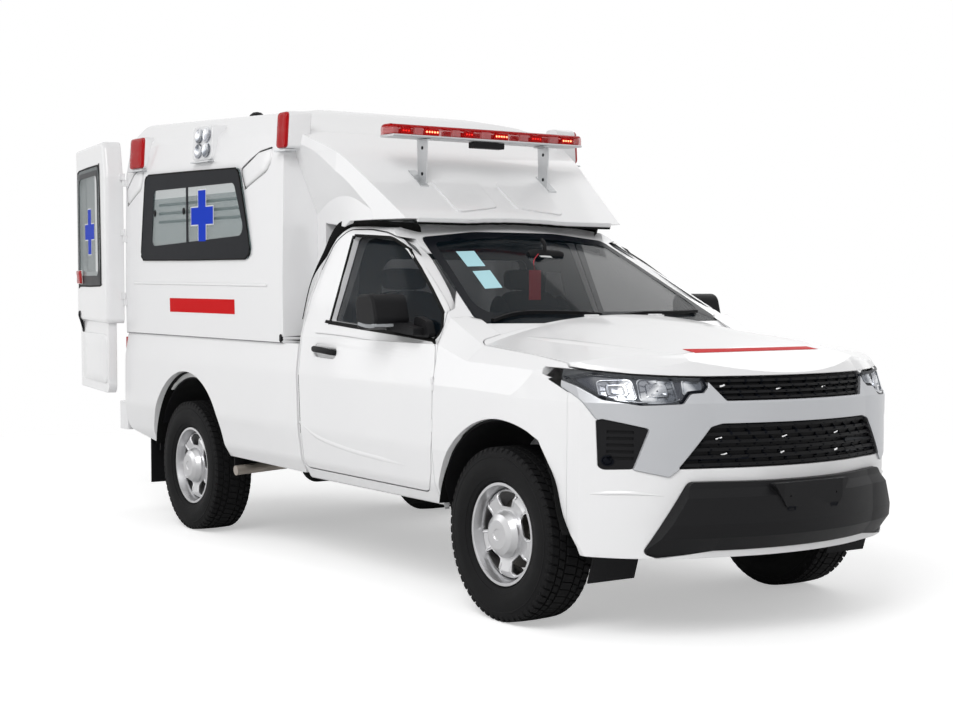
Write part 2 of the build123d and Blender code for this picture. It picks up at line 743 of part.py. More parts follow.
def bumper_guard():
    """Black lower guard: sloping ledge, upright face, raked underside, proud number plate panel."""
    shells = [Pos(0, 0, z) * front_plan(-out) for z, out in guard_levels]
    guard = (loft(shells, ruled=True) - plan_prism(35)) & front_view(guard_rows, 300)
    plate = outline(mirrored([(150, 545, 8), (215, 645, 8)]))
    guard += nose_layer(68, 0) & along(plate, 400, plate_face_x)
    for side in (-1, 1):
        hole = Plane(origin=(1100, side * plate_holes / 2, plate_hole_z), z_dir=(-1, 0, 0))
        guard -= extrude(hole * Circle(plate_hole_r), amount=400)
    return largest(guard)


# ---------------------------------------------------------------- body behind the cab
def lower_sides():
    """Left and right lower body sides from the cab to the rear, with round wheel openings."""
    wall = lower_cab(0, body_rear_x, bed_front_x + 30) - lower_cab(bed_wall, body_rear_x - 1, bed_front_x + 31)
    wall = wall & across(outline([
        (body_rear_x, 540, 90), (-3560, 470, 60), (-2500, 478, 60), (bed_front_x, 468, 30),
        (bed_front_x - 14, 760, 300), (bed_front_x - 44, bed_top_z, 0), (body_rear_x, bed_top_z, 20)]), 700, 1000)
    for cut in wheel_openings():
        wall -= cut
    return both(largest(wall))


def load_floor():
    """Load floor with two wheel boxes and a front bulkhead up to the capsule."""
    inner = body_half - bed_wall - 5
    x0, x1 = body_rear_x + 20, bed_front_x - 62
    slab = lower_cab(bed_wall + seat_gap, x0, x1) & block(x0, x1, -1000, 1000, load_floor_z, load_floor_z + floor_thick)
    boxes = []
    for side in (-1, 1):
        y0, y1 = sorted((side * 560, side * inner))
        house = cross_pin(rear_arch_x, tyre_radius, rear_arch_r + 20, y0, y1)
        slab += house & block(-3700, -2400, -1000, 1000, load_floor_z, 1100)
        out0, out1 = sorted((side * 560, side * 940))
        boxes.append(cross_pin(rear_arch_x, tyre_radius, rear_arch_r - 10, out0, out1))
    for hollow in boxes:
        slab -= hollow & block(-3700, -2400, -1000, 1000, 300, 1100)
    slab += block(-1925, -1880, -inner + 30, inner - 30, load_floor_z, bed_top_z)
    return largest(slab)


scoop_rows = [
    # side views of the moulded teardrops ahead of and behind the window: (x, z, corner radius)
    [(-2376, 2036, 30), (-2164, 2124, 60), (-2018, 2140, 25), (-2004, 2062, 60), (-2060, 2010, 60), (-2317, 1925, 30)],
    [(-3928, 2000, 20), (-3801, 2102, 60), (-3684, 2130, 25), (-3662, 2060, 60), (-3700, 1990, 60), (-3915, 1893, 20)],
]
scoop_deep = 9


def capsule_shell():
    """Moulded room: sides, roof and front bulkhead, open at the rear for the doors."""
    shell = capsule_form(0, body_rear_x, capsule_front_x)
    shell -= capsule_form(capsule_wall, body_rear_x - 1, capsule_front_x - 60)
    shell -= block(body_rear_x - 1, body_rear_x + 200, -800, 800, 900, rear_door_top_z - 40)
    shell -= along(outline([(-460, 1230, 60), (460, 1230, 60), (460, 2050, 60), (-460, 2050, 60)]), -2000, -1800)
    hole = across(grown(side_window_rows, -30), -1000, 1000)
    shell = largest(shell - hole)
    skin = capsule_form(0, body_rear_x, capsule_front_x) - capsule_form(scoop_deep, -4000, 0)
    for rows in scoop_rows:
        shell -= skin & across(outline(rows), -1000, 1000)
    for z0, z1 in rear_hinge_rows:
        room = hinge_room(rear_hinge, z0, z1 + rear_hinge_h, rear_hinge_r)
        leaf = hinge_leaf(rear_hinge, z0, z1, rear_hinge_r, body_rear_x + 20)
        shell = shell - room - flipped(room) + leaf + flipped(leaf)
    return largest(shell)


def cab_fairing():
    """Raised roof over the cab: hollow, open to the capsule, scooped over each door."""
    outer = fairing_form(0)
    scoop = across(outline([(-2050, 1700, 0), (-1960, 1740, 80), (-1640, 1915, 420), (-940, 1640, 0),
                            (-940, 1100, 0), (-2050, 1100, 0)]), -721, -720)
    face = scoop.faces().sort_by(Axis.Y)[0]
    swept = extrude(face, amount=520, dir=(0, -1, 2.4))
    outer = outer - swept - flipped(swept)
    outer -= across(cab_side(cab_gap, 600), -1000, 1000) & block(-1900, 0, -1000, 1000, 600, 1745)
    hollow = fairing_form(capsule_wall) & block(-1900, 0, -1000, 1000, 1850, 3000)
    hollow &= upright(outline([(-1900, -700, 0), (-1900, 700, 0), (-1100, 480, 0), (-1100, -480, 0)]), 1000, 3000)
    outer -= hollow
    outer -= greenhouse(-cab_gap) & block(-1900, 0, -1000, 1000, 1000, 3000)
    through = along(outline([(-460, 1230, 60), (460, 1230, 60), (460, 2050, 60), (-460, 2050, 60)]), -1900, -1700)
    return largest(outer - through)


def side_windows():
    """Bonded window of each side: black bordered pane seated in its hole."""
    pane = across(outline(side_window_rows), 918, 932)
    plug = across(grown(side_window_rows, -30 - seat_gap), 890, 919)
    return both((pane - capsule_form(-seat_gap, -4000, capsule_front_x)) + (plug & block(-4000, 0, 885, 931, 0, 3000)))


lamp_places = [
    # side lamps on the roof's shoulder: (x low, x high)
    (-1990, -1900), (-2945, -2710), (-3830, -3640),
]


def side_lamps():
    """Marker lamps on the shoulders of the roof and the tail lamps."""
    lamps = []
    for x0, x1 in lamp_places:
        body = across(outline([(x0, 2112, 14), (x1, 2112, 14), (x1, 2300, 14), (x0, 2300, 14)]), 840, 960)
        shape = body & (along(outline([(905, 2100, 0), (941, 2100, 8), (930, 2305, 8), (862, 2310, 0), (846, 2290, 0)]),
                              x0, x1)) - capsule_form(-seat_gap, -4000, -1800)
        lamps.append(largest(shape))
    lamps.append(block(body_rear_x - 12, body_rear_x - seat_gap, 886, 926, 800, 1100))
    lamps = [lamp for shape in lamps for lamp in both(shape).solids()]
    return Compound(lamps)


bar_half, bar_x, bar_top_z = 595, -1400, 2224
bracket_y = 381


def light_bar():
    """Low warning light bar: rounded lens over a base, with a box under its middle."""
    lens = block(bar_x - 62, bar_x + 62, -bar_half, bar_half, bar_top_z - 52, bar_top_z)
    lens = fillet(lens.edges().filter_by(Axis.Y).group_by(Axis.Z)[-1], 22)
    base = block(bar_x - 66, bar_x + 66, -bar_half + 4, bar_half - 4, bar_top_z - 66, bar_top_z - 52)
    box = block(bar_x + 10, bar_x + 60, -75, 75, bar_top_z - 96, bar_top_z - 66)
    return lens + base + box


def light_bar_brackets():
    """Two tapering folded plates from the fairing's slope up to the light bar."""
    top = bar_top_z - 66 - seat_gap
    web = across(outline([(bar_x - 26, 1800, 0), (bar_x + 30, 1800, 0), (bar_x + 50, top, 0), (bar_x - 46, top, 0)]),
                 bracket_y - 3, bracket_y + 3)
    shelf = block(bar_x - 46, bar_x + 50, bracket_y - 30, bracket_y + 3, top - 5, top)
    foot = across(outline([(bar_x - 60, 1800, 0), (bar_x + 60, 1800, 0), (bar_x + 60, 2200, 0), (bar_x - 60, 2200, 0)]),
                  bracket_y - 3, bracket_y + 45)
    pad = foot & (under_roof(-5) - under_roof(-seat_gap))
    bracket = (web + shelf - under_roof(-seat_gap)) + pad
    return both(largest(bracket))


# ---------------------------------------------------------------- rear doors and bumper
def rear_door_closed():
    """Right leaf, shut: moulded shell with a deep upper part and a flat lower part."""
    x0, x1 = body_rear_x - rear_door_depth - 6, body_rear_x - 6
    face = outline([(-10, 1180, 0), (-10, rear_door_top_z, 0), (-855, rear_door_top_z, 60)] +
                   [(-917, 2085, 60), (-927, 1425, 0), (-922, 1180, 30)])
    leaf = along(face, x0, x1)
    leaf = fillet(leaf.edges().group_by(Axis.X)[0], 30)
    low = along(outline([(-10, rear_door_low_z, 0), (-10, 1181, 0), (-880, 1181, 0), (-880, rear_door_low_z, 60)]),
                x0 + 25, x0 + 75)
    leaf -= along(outline([(-60, 1230, 20), (-60, rear_door_top_z - 60, 20), (-820, rear_door_top_z - 60, 20),
                           (-870, 1230, 20)]), x0 + 45, x1 + 1)
    leaf += low
    leaf -= along(outline(rear_window_rows), x0 - 1, x1)
    for z0, z1 in rear_hinge_rows:
        leaf -= hinge_room(rear_hinge, z0, z1 + rear_hinge_h, rear_hinge_r)
        leaf += hinge_leaf(rear_hinge, z1 + seat_gap, z1 + rear_hinge_h, rear_hinge_r, body_rear_x - 26)
    return largest(leaf)


rear_window_rows = [
    # view from behind of the right leaf's window: (y, z, corner radius)
    (-760, 1500, 60), (-130, 1500, 60), (-130, 2120, 60), (-740, 2120, 60),
]
def opened(shape, degrees):
    """Right leaf swung about its hinge line."""
    x, y = rear_hinge
    return Pos(x, y, 0) * Rot(0, 0, degrees) * Pos(-x, -y, 0) * shape


def rear_glass_closed():
    x0 = body_rear_x - rear_door_depth - 6
    pane = along(grown(rear_window_rows, 32), x0 - 5, x0 - seat_gap)
    plug = along(grown(rear_window_rows, -seat_gap), x0 - 1, x0 + 20)
    return pane + plug


def rear_bumper():
    """Wrapped rear bumper with a step tread on its top, on two brackets."""
    bar = upright(outline([(-3950, 918, 10), (-4110, 918, 80), (-4190, 650, 120), (-4190, -650, 120),
                           (-4110, -918, 80), (-3950, -918, 10)]), 520, 690)
    bar -= upright(outline([(-3949, 860, 10), (-4090, 860, 60), (-4140, 640, 80), (-4140, -640, 80),
                            (-4090, -860, 60), (-3949, -860, 10)]), 519, 670)
    return bar


# ---------------------------------------------------------------- under the vehicle
def rail_path(side):
    """One chassis rail, kicked up over the rear axle."""
    z = rail_z - 105
    rows = [(700, z, 0), (700, z + rail_h - 30, 0), (-2250, z + rail_h, 300), (-2520, z + rail_h + 120, 300),
            (-3560, z + rail_h + 120, 300), (-3900, z + rail_h + 60, 0), (-3900, z - 40, 0), (-3560, z + 120, 300),
            (-2560, z + 120, 300), (-2290, z, 300)]
    y0, y1 = sorted((side * (rail_y - rail_w / 2), side * (rail_y + rail_w / 2)))
    return across(outline(rows), y0, y1)


def chassis_frame():
    frame = rail_path(1) + rail_path(-1)
    for x, z in ((560, 530), (-1010, 573), (-1500, 573), (-2300, 560), (-3750, 650)):
        frame += cross_pin(x, z, 35, -rail_y, rail_y)
    for x in (-560, -1560):
        for side in (-1, 1):
            y0, y1 = sorted((side * (rail_y + 20), side * 700))
            frame += block(x - 40, x + 40, y0, y1, 470, 540)
            y0, y1 = sorted((side * 620, side * 700))
            frame += block(x - 40, x + 40, y0, y1, 470, cab_floor_z - 30 - seat_gap)
    for x in (-1850, -2450, -3720):
        frame += block(x - 40, x + 40, -800, 800, 740, load_floor_z - seat_gap)
    for x in (-1850, -2450, -3720):
        for side in (-1, 1):
            y0, y1 = sorted((side * (rail_y - 30), side * (rail_y + 30)))
            frame += block(x - 40, x + 40, y0, y1, 520, 760)
    for side in (-1, 1):
        y0, y1 = sorted((side * 370, side * 440))
        frame += block(-4140 + seat_gap, -3880, y0, y1, 560, 670 - seat_gap)
        frame += block(640, 900, y0, y1, 480, 560) & plan_prism(35 + seat_gap)
        y0, y1 = sorted((side * (rail_y + 10), side * (spring_y - 32 - seat_gap)))
        for x in (-wheelbase - 640, -wheelbase + 640):
            frame += block(x - 30, x + 30, y0, y1, 508, 640)
    return largest(frame)


def engine_block():
    """Engine and gearbox as one plain mass."""
    mount_y = rail_y - rail_w / 2 - seat_gap
    mass = block(-180, 420, -250, 250, 430, 1010) + block(-900, -179, -170, 170, 400, 615)
    return mass + block(60, 140, -mount_y, mount_y, 490, 550)


def rear_axle():
    """Live axle with drums, sitting on two leaf springs shackled to the rails."""
    x, z = -wheelbase, tyre_radius
    half = track / 2
    axle = cross_pin(x, z, 42, -half + 70, half - 70)
    axle += turned([(-150, 0, 0), (-150, 60, 0), (-90, 150, 60), (90, 150, 60), (150, 60, 0), (150, 0, 0)], x, 0, z)
    for side in (-1, 1):
        y0, y1 = sorted((side * (half - 70), side * (half - drum_face)))
        axle += cross_pin(x, z, 140, y0, y1)
        y0, y1 = sorted((side * (half - drum_face - 1), side * (half + hub_face)))
        axle += cross_pin(x, z, 66, y0, y1)
        y0, y1 = sorted((side * (half - drum_face - 1), side * (half + hub_face + 6)))
        axle += cross_pin(x, z, spigot_r, y0, y1)
        y0, y1 = sorted((side * (spring_y - 32), side * (spring_y + 32)))
        for leaf in range(4):
            reach = 640 - 110 * leaf
            drop = z + 78 - leaf * 9
            sweep = 70 * (reach / 640) ** 2
            bow = ThreePointArc((x - reach, drop + sweep), (x, drop), (x + reach, drop + sweep))
            under = ThreePointArc((x + reach, drop + sweep - 9.2), (x, drop - 9.2), (x - reach, drop + sweep - 9.2))
            face = make_face(Wire([bow, Line(bow @ 1, under @ 0), under, Line(under @ 1, bow @ 0)]))
            axle += across(face, y0, y1)
        for eye_x in (x - 640, x + 640):
            axle += cross_pin(eye_x, z + 150, 24, y0, y1)
        seat = block(x - 50, x + 50, y0, y1, z + 30, z + 52)
        axle += seat
    return largest(axle)




def knuckle(side):
    """Hub, ventilated disc, caliper and upright of a front wheel."""
    y = track / 2
    z = tyre_radius
    hub = cross_pin(0, z, 66, y - 60, y + hub_face) + cross_pin(0, z, spigot_r, y - 90, y + hub_face + 6)
    disc = cross_pin(0, z, 150, y - 34, y - 8)
    arm = across(outline([(-45, z - 120, 25), (45, z - 120, 25), (38, z, 30), (26, z + 160, 20),
                          (-26, z + 160, 20), (-38, z, 30)]), kingpin_y - 22, y - 40)
    steer = block(-150, -20, kingpin_y - 15, kingpin_y + 15, z - 60, z - 30)
    caliper = across(outline([(60, z - 60, 20), (150, z - 85, 20), (170, z + 20, 30), (85, z + 60, 20)]), y - 62, y + 8)
    part = arm + hub + disc + steer + caliper + block(20, 130, y - 62, y - 36, z - 40, z + 20)
    part = largest(part)
    return part if side > 0 else flipped(part)


def front_suspension():
    """Crossmember, lower and upper arms up to the ball joints, and the steering rack."""
    z = tyre_radius
    low, high = z - 120 - seat_gap, z + 160 + seat_gap
    left = upright(outline([(-190, 320, 20), (190, 320, 20), (30, kingpin_y + 10, 20), (-30, kingpin_y + 10, 20)]),
                   low - 34, low)
    left -= upright(outline([(-110, 365, 15), (110, 365, 15), (0, 540, 15)]), low - 35, low + 1)
    left += block(-190, 190, 290, 345, low - 34, rail_z - 105 - seat_gap)
    left += block(-100, 100, 340, 430, 420, rail_z - 105 - seat_gap)
    left += block(-28, 28, rail_y + rail_w / 2 + seat_gap, kingpin_y + 8, high, high + 24)
    left += block(-28, 28, rail_y + rail_w / 2 + seat_gap, rail_y + rail_w / 2 + 25, 470, high + 1)
    parts = left + flipped(left) + block(-110, 110, -330, 330, 330, 414)
    return parts + cross_pin(-165, z + 5, 22, -330, 330) + block(-166, -100, -60, 60, 365, 395)


def fuel_tank():
    inner = rail_y + rail_w / 2 + seat_gap
    tank = block(-2380, -1640, inner, 720, 440, 610)
    return fillet(tank.edges(), 35)


def pipe(points, radius, bend):
    path = FilletPolyline(*points, radius=bend)
    return sweep(Plane(origin=path @ 0, z_dir=path % 0) * Circle(radius), path)


def exhaust_system():
    """Front pipe, silencer and tail pipe on the vehicle's right."""
    box = Pos(-1900, -530, 460) * Rot(0, 90, 0) * Cylinder(85, 560)
    box = fillet(box.edges(), 20)
    front = pipe([(-1621, -530, 436), (-1000, -530, 425), (-640, -310, 425), (-430, -215, 480),
                  (-180 - seat_gap, -215, 480)], 27, 60)
    tail = pipe([(-2179, -530, 436), (-2420, -530, 436), (-2480, -650, 420), (-2480, -900, 405)], 27, 60)
    hanger = block(-1920, -1880, -470, -rail_y - rail_w / 2 - seat_gap, 480, 520)
    return box + front + tail + hanger


def propshaft():
    length = wheelbase - 150 - 900 - 2 * seat_gap
    shaft = Pos(-900 - seat_gap, 0, 495) * Rot(0, -93.2, 0) * Pos(0, 0, length / 2) * Cylinder(38, length)
    return shaft & block(-wheelbase + 150 + seat_gap, -900 - seat_gap, -100, 100, 300, 600)


def arch_liners():
    """Black inner arches of the front wheels, and the flaps behind and ahead of the wheels."""
    parts = []
    ring = cross_pin(arch_x, tyre_radius, arch_r - seat_gap, 500, 930)
    ring -= cross_pin(arch_x, tyre_radius, arch_r - 9, 499, 931)
    ring &= block(-460, 560, 400, 1000, 340, 900)
    ring &= nose_form(bumper_wall + seat_gap, 60)
    deflector = across(outline([(523, 362, 0), (532, 362, 0), (492, 232, 0), (482, 232, 0)]), 560, 800)
    parts.append(largest(ring + deflector))
    parts.append(block(-3682, -3675, 600, 880, 215, 491.2))
    rear = cross_pin(rear_arch_x, tyre_radius, rear_arch_r - 10 - seat_gap, 560, 870)
    rear -= cross_pin(rear_arch_x, tyre_radius, rear_arch_r - 18, 559, 871)
    parts.append(largest(rear & block(-3700, -2400, 400, 1000, 420, 1000)))
    return Compound([piece for part in parts for piece in both(part).solids()])


def seats():
    """Two cab seats: cushion and raked back with head restraint."""
    found = []
    for side in (-1, 1):
        y0, y1 = sorted((side * 130, side * 640))
        cushion = across(outline([(-1420, cab_floor_z + 120, 40), (-900, cab_floor_z + 150, 50),
                                  (-900, cab_floor_z + 250, 45), (-1400, cab_floor_z + 230, 40)]), y0, y1)
        plinth = block(-1380, -960, y0 + 60, y1 - 60, cab_floor_z + seat_gap, cab_floor_z + 150)
        back = across(outline([(-1440, cab_floor_z + 190, 30), (-1330, cab_floor_z + 200, 30),
                               (-1500, 1400, 40), (-1590, 1380, 40)]), y0 + 10, y1 - 10)
        mid = (y0 + y1) / 2
        rest = across(outline([(-1590, 1385, 20), (-1520, 1390, 20), (-1545, 1520, 30), (-1610, 1510, 30)]),
                      mid - 120, mid + 120)
        found.append(cushion + plinth + back + rest)
    return found


def dashboard():
    """Dashboard across the cab, with the steering column's shroud."""
    dash = across(outline([(-300.3, 850, 0), (-300.3, 1236, 0), (-420, 1222, 60), (-640, 1170, 50), (-680, 1080, 60),
                           (-560, 900, 60), (-420, 850, 30)]), -830, 830)
    dash = (dash & cab_form(cab_wall + seat_gap, 60)) - fender_zone(seat_gap)
    column = wheel_frame(0) * Pos(0, 0, -17 - seat_gap - 90) * Cylinder(34, 180)
    dash = dash + column
    return largest(dash)


steering_wheel_at = (-800, 375, 1115)
steering_wheel_tilt = 28


def wheel_frame(lift):
    x, y, z = steering_wheel_at
    return Pos(x, y, z) * Rot(0, steering_wheel_tilt - 90, 0) * Pos(0, 0, lift)


def steering_wheel():
    section = RegularPolygon(15, 8)
    ring = revolve(Plane(origin=(178, 0, 0), x_dir=(1, 0, 0), z_dir=(0, 1, 0)) * section, Axis.Z, 360)
    hub = upright(outline([(-52, -34, 18), (52, -34, 18), (60, 34, 22), (-60, 34, 22)]), -17, 17)
    spokes = Box(330, 34, 16) + Pos(0, -85, 0) * Box(40, 170, 16)
    return wheel_frame(0) * (ring + hub + spokes)


def interior_fittings():
    """Attendant's bench on the left of the patient room."""
    box = block(-3480, -2100, 500, 846, 920 + seat_gap, 1180)
    box += block(-3480, -2100, 500, 540, load_floor_z + floor_thick + seat_gap, 921)
    return box + block(-3480, -2100, 480, 846, 1180, 1250)


# ---------------------------------------------------------------- nodes
nodes = {
    "chassis_frame": chassis_frame(),
    "engine_block": engine_block(),
    "propshaft": propshaft(),
    "exhaust_system": exhaust_system(),
    "fuel_tank": fuel_tank(),
    "rear_axle": rear_axle(),
    "front_suspension": front_suspension(),
    "knuckle_left": knuckle(1),
    "knuckle_right": knuckle(-1),
    "cab_shell": cab_shell(),
    "windscreen": windscreen(),
    "cab_seats": Compound(seats()),
    "dashboard": dashboard(),
    "steering_wheel": steering_wheel(),
    "front_fenders": front_fenders(),
    "bonnet": bonnet(),
    "front_bumper": front_bumper(),
    "bumper_guard": bumper_guard(),
    "grille_band": grille_band(),
    "grille": grille(),
    "headlamps": headlamps(),
    "arch_liners": arch_liners(),
    "lower_sides": lower_sides(),
    "load_floor": load_floor(),
    "capsule_shell": capsule_shell(),
    "cab_fairing": cab_fairing(),
    "side_windows": side_windows(),
    "side_lamps": side_lamps(),
    "light_bar": light_bar(),
    "light_bar_brackets": light_bar_brackets(),
    "rear_bumper": rear_bumper(),
    "interior_fittings": interior_fittings(),
}
right_door, right_glass, right_mirror = front_door(), door_glass(), mirror_unit()
rear_leaf, rear_pane = rear_door_closed(), rear_glass_closed()
for name, shape in (("front_door", right_door), ("door_glass", right_glass), ("mirror", right_mirror)):
    nodes[name + "_right"] = shape
    nodes[name + "_left"] = flipped(shape)
for name, shape in (("rear_door", rear_leaf), ("rear_glass", rear_pane)):
    nodes[name + "_right"] = opened(shape, rear_door_open)
    nodes[name + "_left"] = flipped(shape)
for end, x in (("front", 0), ("rear", -wheelbase)):
    for name, side in (("left", 1), ("right", -1)):
        nodes[f"tyre_{end}_{name}"] = tyre(x, side)
        nodes[f"rim_{end}_{name}"] = rim(x, side)

os.makedirs("parts", exist_ok=True)
for name, shape in nodes.items():
    moved = [Pos(model_shift, 0, 0) * solid for solid in shape.solids()]
    export_step(moved[0] if len(moved) == 1 else Compound(moved), f"parts/{name}.step")
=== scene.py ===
import json
import math

import bmesh
import bpy
from mathutils import Matrix, Vector
from mathutils.bvhtree import BVHTree
from mathutils.geometry import delaunay_2d_cdt


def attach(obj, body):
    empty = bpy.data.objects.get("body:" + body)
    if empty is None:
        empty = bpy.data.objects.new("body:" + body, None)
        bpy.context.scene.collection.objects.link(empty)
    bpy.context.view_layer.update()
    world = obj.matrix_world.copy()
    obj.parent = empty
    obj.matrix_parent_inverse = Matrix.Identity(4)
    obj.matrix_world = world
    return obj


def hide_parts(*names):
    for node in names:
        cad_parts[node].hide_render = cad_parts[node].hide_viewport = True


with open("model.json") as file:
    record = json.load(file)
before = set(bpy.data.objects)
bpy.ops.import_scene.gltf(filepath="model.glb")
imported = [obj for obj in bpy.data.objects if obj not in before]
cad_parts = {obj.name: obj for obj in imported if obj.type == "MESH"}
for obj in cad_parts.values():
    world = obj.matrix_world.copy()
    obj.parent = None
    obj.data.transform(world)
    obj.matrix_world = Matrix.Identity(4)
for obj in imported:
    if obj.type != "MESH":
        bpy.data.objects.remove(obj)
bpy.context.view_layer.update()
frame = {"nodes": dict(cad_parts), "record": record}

bl_info = {
    "name": "Pickup ambulance",
    "version": (1, 0, 0),
    "blender": (4, 5, 0),
    "location": "3D View > Sidebar > Ambulance",
    "description": "Dresses the ambulance's solids with paint, glass, lamps, tyres and trim",
    "category": "Object",
}

# metres, as everywhere below unless a comment says millimetres
shift = 1.9543             # from the front axle to the middle of the whole length
wheelbase = 3.096
half_track = 0.785
tyre_radius = 0.3745
axle_z = tyre_radius
lamp_foot_z, lamp_top_z = 2.118, 2.300     # marker lamps on the shoulder
sides = (("right", -1), ("left", 1))


# ---------------------------------------------------------------- shader sockets as values
class Val:
    """Socket of a material: an expression on it adds Math nodes."""

    def __init__(self, look, socket):
        self.look, self.socket = look, socket

    def math(self, operation, *values):
        return self.look.add("ShaderNodeMath", {"operation": operation}, dict(enumerate(values)))

    def __add__(self, other):
        return self.math("ADD", self, other)

    def __radd__(self, other):
        return self.math("ADD", other, self)

    def __sub__(self, other):
        return self.math("SUBTRACT", self, other)

    def __mul__(self, other):
        return self.math("MULTIPLY", self, other)


class Look:
    """Material under construction."""

    def __init__(self, name):
        self.material = bpy.data.materials.new(name)
        self.material.use_nodes = True
        self.tree = self.material.node_tree
        self.shader = self.tree.nodes["Principled BSDF"]

    def add(self, kind, settings=None, sockets=None, out=0):
        """New node: its settings first, then its sockets' values or links; gives one output."""
        node = self.tree.nodes.new(kind)
        for key, value in (settings or {}).items():
            if key == "stops":
                self.ramp(node.color_ramp, value)
            else:
                setattr(node, key, value)
        for key, value in (sockets or {}).items():
            self.feed(node.inputs[key], value)
        return Val(self, node.outputs[out])

    @staticmethod
    def ramp(ramp, stops):
        while len(ramp.elements) < len(stops):
            ramp.elements.new(0.5)
        for element, (position, colour) in zip(ramp.elements, stops):
            element.position = position
            element.color = (*colour, 1)

    def feed(self, socket, value):
        if isinstance(value, Val):
            self.tree.links.new(value.socket, socket)
        else:
            socket.default_value = value

    def set(self, **values):
        for key, value in values.items():
            self.feed(self.shader.inputs[key.replace("_", " ")], value)
        return self

    def place(self):
        return self.add("ShaderNodeTexCoord", out="Object")

    def noise(self, scale, detail=3.0):
        return self.add("ShaderNodeTexNoise", None, {"Vector": self.place(), "Scale": scale, "Detail": detail})

    def mix(self, factor, low, high):
        sockets = {0: factor, 6: self.colour(low), 7: self.colour(high)}
        return self.add("ShaderNodeMix", {"data_type": "RGBA"}, sockets, out=2)

    @staticmethod
    def colour(value):
        return value if isinstance(value, Val) else (*value[:3], 1)

    def axes(self):
        split = self.add("ShaderNodeSeparateXYZ", None, {0: self.place()})
        return [Val(self, split.socket.node.outputs[i]) for i in range(3)]

    def bump(self, height, depth, strength=1.0, normal=None):
        sockets = {"Height": height, "Distance": depth, "Strength": strength}
        if normal is not None:
            sockets["Normal"] = normal
        return self.add("ShaderNodeBump", None, sockets)

    def rounded(self, radius):
        return self.add("ShaderNodeBevel", {"samples": 4}, {"Radius": radius})


looks = {}


def finish_of(name, colour, rough, grain=None, depth=0.0, tint=0.04, metal=0.0, coat=0.0, edge=0.0,
              wear=0.04, fine=0.0, shine=0.5):
    """Moulded, painted or cast finish: slow colour change, patchy roughness, grain and soft edges."""
    look = Look(name)
    slow = look.noise(2.3, 4.0)
    patch = look.noise(17.0, 5.0)
    darker = [channel * (1 - tint) for channel in colour]
    lighter = [min(1.0, channel * (1 + tint)) for channel in colour]
    look.set(Base_Color=look.mix(slow, darker, lighter), Metallic=metal)
    look.set(Roughness=rough + (patch - 0.5) * wear * 2, Specular_IOR_Level=shine)
    if coat:
        look.set(Coat_Weight=coat, Coat_Roughness=0.04)
    normal = look.rounded(edge) if edge else None
    if grain:
        height = look.noise(grain, 2.0)
        if fine:
            height = height + look.noise(grain * 4, 2.0) * fine
        normal = look.bump(height, depth, normal=normal)
    if normal is not None:
        look.set(Normal=normal)
    looks[name] = look.material


def glass_of(name, colour, alpha, rough=0.02, coat=0.1, shine=0.2):
    """Tinted pane: dark film of the tint with clear gloss over it."""
    look = Look(name)
    drift = look.noise(1.1, 2.0)
    look.set(Base_Color=look.mix(drift, [c * 0.85 for c in colour], colour))
    look.set(Roughness=rough, Alpha=alpha, Specular_IOR_Level=shine, Coat_Weight=coat, Coat_Roughness=0.01)
    looks[name] = look.material


def glow_of(name, colour, strength):
    """Lit lamp: its own light, a little uneven."""
    look = Look(name)
    cells = look.noise(60.0, 2.0)
    look.set(Base_Color=(*colour, 1), Roughness=0.3, Emission_Strength=strength)
    look.set(Emission_Color=look.mix(cells, [c * 0.7 for c in colour], colour))
    looks[name] = look.material


def make_reflection_chrome():
    """Bright reflector: streaks of dark and light painted into its colour, a painted reflection of a dim studio."""
    look = Look("bowl_chrome")
    painted_streak = look.noise(11.0, 0.5)
    # dark and light bands of the painted reflection
    stops = [(0.36, (0.10, 0.11, 0.13)), (0.46, (0.50, 0.52, 0.55)), (0.53, (0.90, 0.91, 0.93)),
             (0.64, (0.30, 0.31, 0.34))]
    colour = look.add("ShaderNodeValToRGB", {"stops": stops}, {0: painted_streak})
    look.set(Base_Color=colour, Metallic=1.0, Roughness=0.12)
    looks["bowl_chrome"] = look.material


def white_paint():
    """Gloss white: faint orange peel under a clear coat, soft edges at the panel gaps."""
    look = Look("white_paint")
    slow = look.noise(1.7, 3.0)
    sizes = bpy.context.scene.ambulance_sizes
    look.set(Base_Color=look.mix(slow, sizes.paint_dark, sizes.paint_light))
    patch = look.noise(9.0, 4.0)
    look.set(Roughness=0.28 + patch * 0.08, Coat_Weight=0.55, Coat_Roughness=0.05)
    peel = look.noise(160.0, 2.0)
    look.set(Normal=look.bump(peel, 0.00012, 0.6, normal=look.rounded(0.005)))
    looks["white_paint"] = look.material


